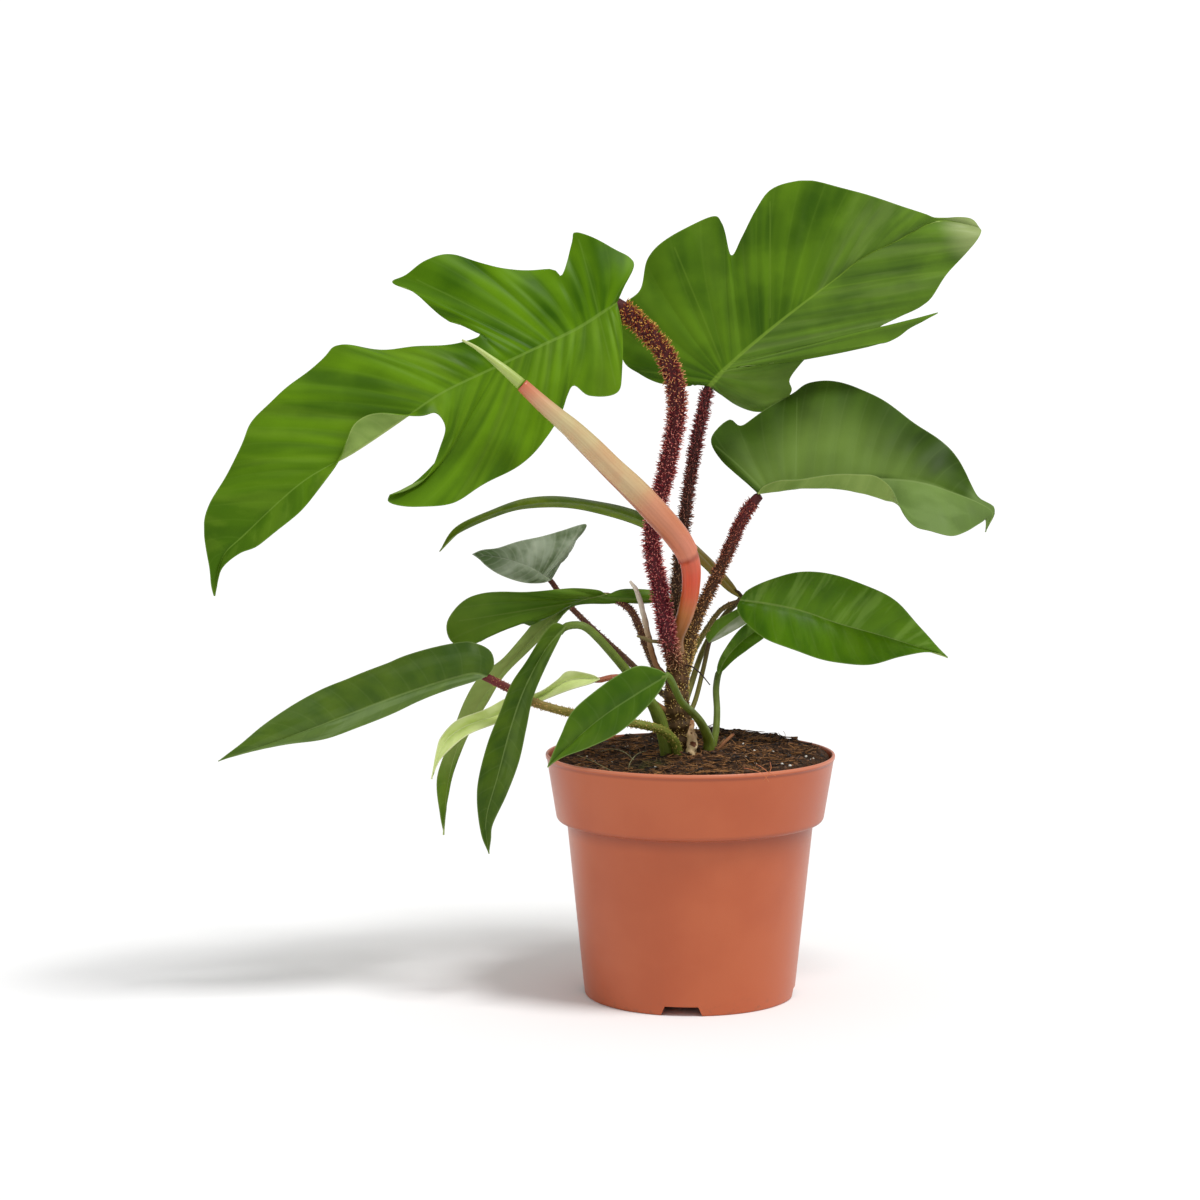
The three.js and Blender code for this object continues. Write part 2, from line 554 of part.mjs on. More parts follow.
// A sheet made solid: a back copy along the normals, split alike, and a strip round the border.
function slabGeometry(sheet, front, back) {
  const corners = [...sheet.getIndex().array];
  const triangles = [];
  for (let index = 0; index < corners.length; index += 3) {
    const [a, b, c] = corners.slice(index, index + 3);
    if (a !== b && b !== c && c !== a) triangles.push([a, b, c]);
  }
  sheet.setIndex(triangles.flat());
  sheet.computeVertexNormals();
  const spots = sheet.getAttribute('position');
  const normals = sheet.getAttribute('normal');
  const points = [front, -back].flatMap((shift) => {
    const layer = [];
    for (let index = 0; index < spots.count; index += 1) {
      layer.push(spots.getX(index) + shift * normals.getX(index));
      layer.push(spots.getY(index) + shift * normals.getY(index));
      layer.push(spots.getZ(index) + shift * normals.getZ(index));
    }
    return layer;
  });
  const used = new Set(triangles.flatMap(([a, b, c]) => [`${a} ${b}`, `${b} ${c}`, `${c} ${a}`]));
  const border = [...used].map((edge) => edge.split(' ').map(Number));
  const rim = border.filter(([a, b]) => !used.has(`${b} ${a}`));
  const under = (index) => index + spots.count;
  const faces = [
    ...triangles,
    ...triangles.map(([a, b, c]) => [under(c), under(b), under(a)]),
    ...rim.flatMap(([a, b]) => [[b, a, under(a)], [b, under(a), under(b)]]),
  ];
  const slab = new THREE.BufferGeometry();
  slab.setAttribute('position', new THREE.Float32BufferAttribute(points, 3));
  slab.setIndex(faces.flat());
  return slab;
}

function bladeGeometry(blade, margin = 0) {
  const half = bladeThickness / 2 + margin;
  return slabGeometry(sheetGeometry(blade), half, half);
}

// The room that a blade needs: a gap thicker on both faces, and a gap wider each way.
function bladeRoom(blade) {
  const shifts = [[gap, 0], [-gap, 0], [0, gap], [0, -gap]];
  const copies = shifts.map(([x, z]) => solidOf(bladeGeometry(blade, gap).translate(x, 0, z)));
  return wasm.Manifold.union([solidOf(bladeGeometry(blade)), ...copies]);
}

// The wall of the pot, its rim band, its foot ring and its raised floor, as one closed profile.
function potGeometry() {
  const profile = [
    [0, 0], [bossRadius, 0], [bossRadius + undersideSlope, floorHeight - wall],
    [footRadius - wall - undersideSlope, floorHeight - wall], [footRadius - wall, 0],
    [footRadius - edgeRound, 0], [footRadius, footFillet], [bodyTopRadius, bodyTopHeight],
    [bandFootRadius - bandRound, bodyTopHeight + edgeRound], [bandFootRadius, bandFootHeight],
    [rimRadius, potHeight - edgeRound], [rimRadius - edgeRound / 2, potHeight],
    [rimRadius - wall, potHeight], [bandFootRadius - wall, bandFootHeight],
    [bodyTopRadius - wall, bodyTopHeight + wall], [footRadius - wall, floorHeight + footFillet],
    [footRadius - wall - footFillet, floorHeight], [0, floorHeight],
  ];
  return new THREE.LatheGeometry(profile.map(([r, z]) => new THREE.Vector2(r, z)), potSides)
    .rotateX(Math.PI / 2);
}

function potSolid() {
  const cuts = [];
  for (let index = 0; index < notchCount; index += 1) {
    const notch = new THREE.BoxGeometry(notchReach, notchWidth, 2 * notchHeight);
    notch.translate(footRadius, 0, 0);
    notch.rotateZ(notchTurn + 2 * Math.PI * index / notchCount);
    cuts.push(solidOf(notch));
  }
  for (let index = 0; index < drainCount; index += 1) {
    const hole = new THREE.CylinderGeometry(drainRadius, drainRadius, 4 * floorHeight, drainSides);
    hole.rotateX(Math.PI / 2);
    hole.translate(drainRing, 0, 0);
    hole.rotateZ(2 * Math.PI * (index + 0.5) / drainCount);
    cuts.push(solidOf(hole));
  }
  return cuts.reduce((pot, cut) => pot.subtract(cut), solidOf(potGeometry()));
}

// Low at the left, near the lip in front, and heaped round the stem, at the right and at the back.
function soilRise(x, y) {
  const right = soilRightRise * x / soilRadius;
  const outward = (y < 0 ? soilFrontRise : soilBackRise) * (y / soilRadius) ** 2;
  const heap = heapHeight * Math.exp(-(x * x + y * y) / (2 * heapWidth ** 2));
  const coarse = 2 * Math.PI / coarseLumpLength;
  const fine = 2 * Math.PI / fineLumpLength;
  const lumps = coarseLump * Math.sin(coarse * x + 1) * Math.cos(coarse * y);
  return soilLift + right + outward + heap + lumps + fineLump * Math.sin(fine * (x + y));
}

// The heaped top lies inside the wall, and its outermost ring stays below the lip.
function soilGeometry() {
  const base = floorHeight + soilClearance;
  const room = wall + soilClearance;
  const side = [
    [0, base], [footRadius - room - footFillet, base],
    [footRadius - room, base + footFillet], [bodyTopRadius - room, bodyTopHeight + room],
    [bandFootRadius - room, bandFootHeight + soilClearance], [soilRadius, soilEdgeHeight],
  ];
  const profile = [...side, ...soilRings.map((share) => [share * soilRadius, soilEdgeHeight])];
  const soil = new THREE.LatheGeometry(profile.map(([r, z]) => new THREE.Vector2(r, z)), soilSides)
    .rotateX(Math.PI / 2);
  const position = soil.getAttribute('position');
  for (let index = 0; index < position.count; index += 1) {
    const ring = index % profile.length - (side.length - 1);
    if (ring < 0) continue;
    const height = soilEdgeHeight + soilRise(position.getX(index), position.getY(index));
    position.setZ(index, ring === 0 ? Math.min(height, potHeight - soilEdgeBelowLip) : height);
  }
  return soil;
}

// The stem is a bar that swells at each leaf scar.
function stemSolid() {
  const swell = (length) => knobHeight * Math.cos(2 * Math.PI * length / knobSpacing);
  return solidOf(barGeometry(stemRoute, swell, stemSides, stemStep));
}

// What stands in the soil or the stem has a plain hole there, a gap wider than itself.
function holeFor(stalk) {
  return solidOf(barGeometry(routeOf(stalk), () => gap));
}

const meets = (first, second) => !first.intersect(second).isEmpty();

// Each stalk gives way to the stalks before it and to the blades, and a needle that would reach
// another piece is left out.
function stalkSolids() {
  const names = Object.keys(stalks);
  const holes = names.map((name) => holeFor(stalks[name]));
  const rooms = Object.values(blades).map(bladeRoom);
  const stem = stemSolid();
  const grown = [];
  names.forEach((name, index) => {
    const rivals = [...holes.filter((_, other) => other !== index), ...rooms, ...grown, stem];
    const needles = bristlesOf(stalks[name], firstSeed + index)
      .filter((needle) => !rivals.some((rival) => meets(needle, rival)));
    const bar = solidOf(barGeometry(routeOf(stalks[name])));
    const before = [...holes.slice(0, index), ...rooms];
    const seated = before.reduce((body, rival) => body.subtract(rival), bar);
    grown.push(wasm.Manifold.union([largestBody(seated), ...needles]));
  });
  return names.map((name, index) => ({ name, solid: largestBody(grown[index]), hole: holes[index] }));
}

function buildPlant() {
  const grown = stalkSolids();
  const stem = grown.reduce((body, { hole }) => body.subtract(hole), stemSolid());
  const stemRoom = () => knobHeight + gap;
  const stemHole = solidOf(barGeometry(stemRoute, stemRoom, stemSides, stemStep));
  const soil = grown.reduce((body, { hole }) => body.subtract(hole), solidOf(soilGeometry()));
  return [
    piece('soil', geometryOf(largestBody(soil.subtract(stemHole))), '#3a2a20', 0.95),
    piece('stem', geometryOf(largestBody(stem)), '#6b4a30', 0.8),
    ...Object.entries(blades).map(([name, blade]) => (
      piece(name, closedMesh(bladeGeometry(blade)), blade.colour, 0.4)
    )),
    ...grown.map(({ name, solid }) => piece(name, geometryOf(solid), stalks[name].colour, 0.5)),
  ];
}

const part = new THREE.Group();
part.add(piece('pot', geometryOf(potSolid()), '#b8694a', 0.6));
part.add(...buildPlant());

export default part;
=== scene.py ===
# %% [markdown]
# # A potted philodendron
# This lesson dresses a house plant in its plastic nursery pot. The plain solids of the plant are
# loaded as a fixed frame, and each is replaced by a finer piece that keeps its place and its form.
# The frame is loaded first, and its box is kept, because nothing made here may leave that box.

# %% Load the frame
import math
import random

import bmesh
import bpy
from mathutils import Matrix, Vector, geometry, noise


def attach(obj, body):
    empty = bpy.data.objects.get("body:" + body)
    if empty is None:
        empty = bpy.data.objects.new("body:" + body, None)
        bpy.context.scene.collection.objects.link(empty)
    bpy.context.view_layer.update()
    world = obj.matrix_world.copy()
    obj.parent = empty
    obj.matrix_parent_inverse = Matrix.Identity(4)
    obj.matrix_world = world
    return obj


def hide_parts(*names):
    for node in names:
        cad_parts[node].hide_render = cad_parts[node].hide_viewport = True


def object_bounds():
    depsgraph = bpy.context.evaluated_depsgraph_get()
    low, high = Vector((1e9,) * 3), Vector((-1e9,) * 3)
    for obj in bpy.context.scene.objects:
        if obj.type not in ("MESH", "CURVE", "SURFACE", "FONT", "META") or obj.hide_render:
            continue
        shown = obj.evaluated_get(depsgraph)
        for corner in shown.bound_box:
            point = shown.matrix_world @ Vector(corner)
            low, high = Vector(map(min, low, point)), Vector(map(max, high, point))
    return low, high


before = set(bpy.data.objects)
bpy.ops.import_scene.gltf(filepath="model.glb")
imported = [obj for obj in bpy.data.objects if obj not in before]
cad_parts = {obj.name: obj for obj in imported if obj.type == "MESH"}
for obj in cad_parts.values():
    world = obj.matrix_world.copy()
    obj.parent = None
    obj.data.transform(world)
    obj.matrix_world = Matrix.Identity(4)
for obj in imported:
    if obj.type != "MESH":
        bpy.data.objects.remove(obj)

cad_low, cad_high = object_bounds()
mm = 0.001

# %% [markdown]
# A plant has no drawing, so its leaves are laid out as they show in one front view. A place in it
# is a pixel of a square picture and a depth behind the axis of the pot. One formula turns that
# into a real point, seen from an eye in front of the pot. Typing points in metres would also do,
# but this way an outline can be checked against what the eye sees.

# %% From a pixel and a depth to a point
picture_size = 1200
picture_centre = picture_size / 2
lens = 85
sensor = 36
eye = Vector((-53, -1650, 392)) * mm
eye_pitch = math.radians(5.5)
focal_pixels = picture_size * lens / sensor
pixels_per_mm = focal_pixels / (-eye.y / mm)


def place(column, row, depth):
    """The point that shows at a pixel and lies depth millimetres behind the axis of the pot."""
    across = (column - picture_centre) / focal_pixels
    upward = (picture_centre - row) / focal_pixels
    ahead = math.cos(eye_pitch) + upward * math.sin(eye_pitch)
    rise = upward * math.cos(eye_pitch) - math.sin(eye_pitch)
    reach = (depth * mm - eye.y) / ahead
    return Vector((eye.x + reach * across, depth * mm, eye.z + reach * rise))


print("the middle of the picture lies at", place(picture_centre, picture_centre, 0))

# %% [markdown]
# The camera stands at the same eye and looks along +Y, a little downward. A long lens keeps the
# pot's sides almost parallel, as in a catalogue view.

# %% Camera


def add_object(name, data):
    made = bpy.data.objects.new(name, data)
    bpy.context.scene.collection.objects.link(made)
    return made


camera_data = bpy.data.cameras.new("front_camera")
camera_data.lens = lens
camera_data.sensor_width = sensor
camera = add_object("front_camera", camera_data)
camera.location = eye
camera.rotation_euler = (math.radians(90) - eye_pitch, 0, 0)
bpy.context.scene.camera = camera
print("camera at", camera.location[:])

# %% [markdown]
# A white table and a white sky give the bright, even light of a product view. One sun lamp, high
# on the right and a little in front, casts the shadow to the left. A sun lights the whole table
# alike, and a wide disc keeps its shadow soft. The eye sees the sky whiter than it shines, so
# that the table's far edge melts into it.

# %% Floor and light
floor_width = 120
floor_white = (0.93, 0.93, 0.93, 1)
floor_roughness = 0.9
seen_sky = 1.1
sky_strength = 0.56
sun_direction = Vector((0.38, -0.3, 1))
sun_disc = math.radians(17)
sun_strength = 2.05


def mesh_of(bm, name):
    """What was built in a working mesh, as a mesh of its own."""
    mesh = bpy.data.meshes.new(name)
    bm.to_mesh(mesh)
    bm.free()
    return mesh


def add_floor():
    bm = bmesh.new()
    bmesh.ops.create_grid(bm, x_segments=1, y_segments=1, size=floor_width / 2)
    floor = add_object("table_top", mesh_of(bm, "table_top"))
    white = bpy.data.materials.new("white_table")
    white.use_nodes = True
    shader = white.node_tree.nodes["Principled BSDF"]
    shader.inputs["Base Color"].default_value = floor_white
    shader.inputs["Roughness"].default_value = floor_roughness
    shader.inputs["Specular IOR Level"].default_value = 0
    floor.data.materials.append(white)


def add_sun():
    data = bpy.data.lights.new("sun", "SUN")
    data.energy = sun_strength
    data.angle = sun_disc
    sun = add_object("sun", data)
    sun.location = sun_direction
    sun.rotation_euler = (-sun_direction).to_track_quat("-Z", "Y").to_euler()


def add_sky():
    sky = bpy.data.worlds.new("white_sky")
    sky.use_nodes = True
    tree = sky.node_tree
    shine = tree.nodes["Background"]
    shine.inputs["Color"].default_value = (1, 1, 1, 1)
    strength = tree.nodes.new("ShaderNodeMapRange")
    strength.inputs["To Min"].default_value = sky_strength
    strength.inputs["To Max"].default_value = seen_sky
    seen = tree.nodes.new("ShaderNodeLightPath").outputs["Is Camera Ray"]
    tree.links.new(seen, strength.inputs["Value"])
    tree.links.new(strength.outputs["Result"], shine.inputs["Strength"])
    bpy.context.scene.world = sky


add_floor()
add_sun()
add_sky()
bpy.context.scene.view_settings.view_transform = "Standard"
print("a sun of strength", sun_strength, "and a sky of strength", sky_strength)

# %% [markdown]
# Ribs, margins and stalks are all smooth lines through a few points. A Catmull-Rom curve passes
# through each point, so the points can be read straight off the plant. A Bezier curve would need
# handles as well.

# %% A smooth line through points


def smooth_point(points, spot):
    """The point of the curve at a spot, counted in points from the first one."""
    start = min(int(spot), len(points) - 2)
    part = spot - start
    here, ahead = points[start], points[start + 1]
    before = points[start - 1] if start else 2 * here - ahead
    after = points[start + 2] if start + 2 < len(points) else 2 * ahead - here
    leave = (ahead - before) / 2
    arrive = (after - here) / 2
    square = 3 * (ahead - here) - 2 * leave - arrive
    cube = 2 * (here - ahead) + leave + arrive
    return here + part * leave + part ** 2 * square + part ** 3 * cube


corner_points = [Vector((0, 0)), Vector((1, 0)), Vector((1, 1))]
print("a line round a corner passes", smooth_point(corner_points, 0.5), "half way to it")

# %% [markdown]
# Each mesh becomes a piece in the same way: it gets its materials, rides on the plant's one body
# and hides the solid it stands for. A piece that a modifier has shaped keeps the result as its
# mesh, and its sharp edges are marked so that a thin rim doesn't shade as a round one. Relief may
# lift a point a little out of the frame's box, so each point is then brought back to it.

# %% From a mesh to a piece


def make_piece(bm, name, materials, stands_for=None):
    """Hides the solid that it stands for, if one is given."""
    piece = add_object(name, mesh_of(bm, name))
    piece.data.shade_smooth()
    for material in materials:
        piece.data.materials.append(material)
    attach(piece, "root")
    if stands_for:
        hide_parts(stands_for)
    return piece


def settle(piece, crease):
    """Keeps what the modifiers made as the piece's own mesh, with its creases marked sharp."""
    graph = bpy.context.evaluated_depsgraph_get()
    shaped = bpy.data.meshes.new_from_object(
        piece.evaluated_get(graph), preserve_all_data_layers=True, depsgraph=graph)
    piece.modifiers.clear()
    piece.data = shaped
    shaped.set_sharp_from_angle(angle=math.radians(crease))
    for vert in shaped.vertices:
        vert.co = [min(max(part, low), high)
                   for part, low, high in zip(vert.co, cad_low, cad_high)]


def print_faces(piece):
    print(piece.name, "has", len(piece.data.polygons), "faces")


# %% [markdown]
# Materials are small networks of nodes. Short helpers keep them readable: one adds a node and
# sets or links its inputs, one does arithmetic, one mixes two colours, and one ends a material
# with its roughness and its bump. Colours are given from 0 to 255 and turned into the linear
# values that light uses.

# %% Node helpers


def tone(red, green, blue):
    """A colour given from 0 to 255, as the linear colour that a shader takes."""
    def linear(part):
        share = part / 255
        return share / 12.92 if share <= 0.04045 else ((share + 0.055) / 1.055) ** 2.4
    return (linear(red), linear(green), linear(blue), 1)


def set_inputs(tree, made, sockets):
    """Links each of a node's named inputs to a socket, or sets it to a number or a colour."""
    for label, value in sockets.items():
        if isinstance(value, bpy.types.NodeSocket):
            tree.links.new(value, made.inputs[label])
        else:
            made.inputs[label].default_value = value


def node(tree, kind, sockets=None, **settings):
    made = tree.nodes.new(kind)
    for label, value in settings.items():
        setattr(made, label, value)
    set_inputs(tree, made, sockets or {})
    return made


def maths(tree, operation, *values, clamp=False):
    made = node(tree, "ShaderNodeMath", dict(enumerate(values)), operation=operation)
    made.use_clamp = clamp
    return made.outputs[0]


def blend(tree, share, first, second, way="MIX"):
    sockets = {0: share, 6: first, 7: second}
    made = node(tree, "ShaderNodeMix", sockets, data_type="RGBA", blend_type=way)
    return made.outputs[2]


def tinted(tree, base, colour, *shares):
    """The base colour with another one over it, as strong as the product of the shares."""
    share = shares[0]
    for other in shares[1:]:
        share = maths(tree, "MULTIPLY", share, other)
    return blend(tree, share, base, colour)


def between(tree, value, low, high, to_low=0.0, to_high=1.0):
    """A value from low to high, smoothly turned into one from to_low to to_high."""
    sockets = {"Value": value, 1: low, 2: high, 3: to_low, 4: to_high}
    made = node(tree, "ShaderNodeMapRange", sockets, interpolation_type="SMOOTHSTEP")
    return made.outputs["Result"]


def zone(tree, value, start, full, still, ended):
    """1 from full to still, fading to 0 at start and at ended."""
    rise = between(tree, value, start, full)
    fall = between(tree, value, still, ended, 1.0, 0.0)
    return maths(tree, "MULTIPLY", rise, fall)


def ramp(tree, value, stops):
    """A colour that changes along a value, given as stops: a place from 0 to 1 and a colour."""
    made = node(tree, "ShaderNodeValToRGB", {"Fac": value})
    steps = made.color_ramp.elements
    while len(steps) < len(stops):
        steps.new(0.5)
    for step, (place_along, _) in zip(steps, stops):
        step.position = place_along
    for step, (_, colour) in zip(steps, stops):
        step.color = tone(*colour)
    return made.outputs[0]


def start_group(name, inputs, outputs):
    """A node group. An input with no value is a vector."""
    group = bpy.data.node_groups.new(name, "ShaderNodeTree")
    for label, value in inputs.items():
        kind = "NodeSocketVector" if value is None else "NodeSocketFloat"
        socket = group.interface.new_socket(label, in_out="INPUT", socket_type=kind)
        if value is not None:
            socket.default_value = value
    for label in outputs:
        group.interface.new_socket(label, in_out="OUTPUT", socket_type="NodeSocketFloat")
    return group, group.nodes.new("NodeGroupInput"), group.nodes.new("NodeGroupOutput")


def use_group(tree, group, sockets):
    return node(tree, "ShaderNodeGroup", sockets, node_tree=group).outputs


def start_material(name):
    """A material, its tree of nodes and the place of a point on the object."""
    material = bpy.data.materials.new(name)
    material.use_nodes = True
    tree = material.node_tree
    return material, tree, node(tree, "ShaderNodeTexCoord").outputs["Object"]


def end_material(material, colour, roughness, height, relief, relief_depth, shine=0.5):
    """Gives the material's shader its colour, roughness and shine, and a bump from a height."""
    tree = material.node_tree
    bump = node(tree, "ShaderNodeBump", {"Height": height, "Strength": relief,
                                         "Distance": relief_depth})
    set_inputs(tree, tree.nodes["Principled BSDF"], {
        "Base Color": colour, "Roughness": roughness, "Specular IOR Level": shine,
        "Normal": bump.outputs["Normal"]})
    return material


print("a middle grey for the eye is", tone(128, 128, 128)[:3], "for light")

# %% [markdown]
# Three effects are used by many finishes, so each is a node group. The first draws the side veins
# of a leaf and the light and dark bands between them. The second draws one pale line where a
# distance is small, for ribs and margins. The third is a cloudy mottle for everything else.
# Lengths along a leaf's veins are in centimetres, and the bend says how far a vein sweeps forward
# on its way to the margin.

# %% Shared effects
vein_spacing = 1.2
vein_bend = 0.5
vein_width = 0.09
fine_vein_step = 0.25
fine_vein_width = 0.03
fine_vein_height = 0.08
band_scale = 0.8
line_core = 0.45
mottle_range = (0.35, 0.65)


def build_vein_group():
    inputs = {"Place": None, "Spacing": vein_spacing, "Bend": vein_bend, "Width": vein_width}
    group, get, put = start_group("side_veins", inputs, ["Vein", "Band", "Height"])
    split = node(group, "ShaderNodeSeparateXYZ", {0: get.outputs["Place"]})
    middle = maths(group, "SUBTRACT", split.outputs["Y"], 0.5)
    share = maths(group, "MULTIPLY", maths(group, "ABSOLUTE", middle), 2.0)
    shift = maths(group, "MULTIPLY", maths(group, "MULTIPLY", share, share), get.outputs["Bend"])
    along = maths(group, "SUBTRACT", split.outputs["X"], shift)
    half = maths(group, "MULTIPLY", get.outputs["Spacing"], 0.5)
    away = maths(group, "PINGPONG", along, half)
    vein = between(group, away, 0.0, get.outputs["Width"], 1.0, 0.0)
    fine_step = maths(group, "MULTIPLY", half, fine_vein_step)
    fine_away = maths(group, "PINGPONG", along, fine_step)
    fine = between(group, fine_away, 0.0, fine_vein_width, 1.0, 0.0)
    band_place = node(group, "ShaderNodeCombineXYZ", {"X": along, "Y": share})
    band = node(group, "ShaderNodeTexNoise", {"Vector": band_place.outputs[0],
                                              "Scale": band_scale, "Detail": 1.6})
    crown = between(group, maths(group, "DIVIDE", away, half), 0.0, 1.0)
    groove = maths(group, "MULTIPLY", fine, fine_vein_height)
    set_inputs(group, put, {"Vein": vein, "Band": between(group, band.outputs[0], 0.3, 0.7),
                            "Height": maths(group, "SUBTRACT", crown, groove)})
    return group


def build_line_group():
    inputs = {"Distance": 0.0, "Half Width": 1.0}
    group, get, put = start_group("pale_line", inputs, ["Mask"])
    inner = maths(group, "MULTIPLY", get.outputs["Half Width"], line_core)
    mask = between(group, get.outputs["Distance"], inner, get.outputs["Half Width"], 1.0, 0.0)
    set_inputs(group, put, {"Mask": mask})
    return group


def build_mottle_group():
    inputs = {"Place": None, "Scale": 40.0, "Low": mottle_range[0], "High": mottle_range[1]}
    group, get, put = start_group("mottle", inputs, ["Value"])
    cloud = node(group, "ShaderNodeTexNoise", {"Vector": get.outputs["Place"],
                                               "Scale": get.outputs["Scale"], "Detail": 4.0})
    value = between(group, cloud.outputs[0], get.outputs["Low"], get.outputs["High"])
    set_inputs(group, put, {"Value": value})
    return group


vein_group = build_vein_group()
line_group = build_line_group()
mottle_group = build_mottle_group()


def mottle(tree, where, scale, low=mottle_range[0], high=mottle_range[1]):
    """A cloud whose values from low to high are spread over 0 to 1."""
    sockets = {"Place": where, "Scale": scale, "Low": low, "High": high}
    return use_group(tree, mottle_group, sockets)["Value"]


print("made the groups", [group.name for group in bpy.data.node_groups])

# %% [markdown]
# A leaf's upper side is green in bands that follow its side veins, with a pale rib, paler lobe
# veins and a thin light margin. Its underside is paler and duller. A greyish sheen is painted into
# the colour in streaks, as painted reflection, more on one half than on the other, and some leaves
# are paler or duller over a part of their length. The sheet's UV map says how far along the veins
# a point is, in centimetres, with the far half laid a good way past the near one. Its measures say
# how far a point is from the rib, from the nearest lobe vein, from the margin and from the tip,
# and how far along the rib its column stands.

# %% Leaf finish
far_half = 37
lobe_vein_mm = 0.7
lobe_vein_share = 0.18
margin_mm = 0.8
rib_groove = 0.8
leaf_relief_depth = 0.6 * mm
roughness_spread = 0.12
sheen_scale = 1.2
sheen_range = (0.47, 0.62)
sheen_shift = (5.0, 0.0, 0.0)


def measure(tree, name):
    return node(tree, "ShaderNodeAttribute", attribute_name=name).outputs["Fac"]


def line_along(tree, name, half_width=1.0):
    """A line as wide as said on each side of where a measure is 0."""
    sockets = {"Distance": measure(tree, name), "Half Width": half_width}
    return use_group(tree, line_group, sockets)["Mask"]


# Streaks of painted sheen, a painted reflection of the light.
def sheen_streaks(tree, spot, streaks, patchy):
    stretch = node(tree, "ShaderNodeMapping", {"Vector": spot, "Scale": (*streaks, 1.0),
                                               "Location": sheen_shift})
    streak = mottle(tree, stretch.outputs[0], sheen_scale, *sheen_range)
    return maths(tree, "MULTIPLY_ADD", streak, patchy, 1 - patchy)


def leaf_finish(name, deep, bright, rib, gloss=0.34, relief=0.2, margin=0.35,
                spacing=vein_spacing, vein=0.07, spine=0.55, sheen=(0, 0),
                painted_sheen_tone=(150, 164, 124), pale=None, shine=0.1, cloud_scale=24.0,
                streaks=(0.5, 1.3), patchy=0.55, bands=0.5):
    """Sheen is how strong the painted sheen, a painted reflection, is on the near and on the far
    half, painted_sheen_tone its colour, streaks how fine it is along the leaf and across it, and
    patchy how uneven. Bands is the share of the bands that follow the veins. Pale is a colour, the
    measure it follows and the four values where it starts, is full, is full still and ends."""
    material, tree, body = start_material(name)
    spot = node(tree, "ShaderNodeUVMap", uv_map="leaf").outputs[0]
    veins = use_group(tree, vein_group, {"Place": spot, "Spacing": spacing})
    cloud = mottle(tree, body, cloud_scale)
    banded = maths(tree, "MULTIPLY", veins["Band"], bands)
    share = maths(tree, "MULTIPLY_ADD", cloud, 1 - bands, banded)
    green = blend(tree, share, tone(*deep), tone(*bright))
    if pale:
        colour, along, *reach = pale
        patch = zone(tree, measure(tree, along), *reach)
        uneven = maths(tree, "MULTIPLY_ADD", share, 0.3, 0.7)
        green = tinted(tree, green, tone(*colour), patch, uneven)
    green = tinted(tree, green, tone(*rib), veins["Vein"], vein)
    # Painted sheen: a pale tone in streaks stands in for the light's reflection on the leaf.
    if any(sheen):
        walk = node(tree, "ShaderNodeSeparateXYZ", {0: spot}).outputs["X"]
        half = between(tree, walk, far_half / 2, far_half / 2 + 1, *sheen)
        streak = sheen_streaks(tree, spot, streaks, patchy)
        green = tinted(tree, green, tone(*painted_sheen_tone), streak, half)
    middle = line_along(tree, "rib_share")
    for line, strength in ((line_along(tree, "lobe_mm", lobe_vein_mm), lobe_vein_share),
                           (middle, spine),
                           (line_along(tree, "edge_mm", margin_mm), margin)):
        green = tinted(tree, green, tone(*rib), line, strength)
    rough = maths(tree, "MULTIPLY_ADD", cloud, roughness_spread, gloss)
    height = maths(tree, "MULTIPLY_ADD", middle, -rib_groove, veins["Height"])
    return end_material(material, green, rough, height, relief, leaf_relief_depth, shine)


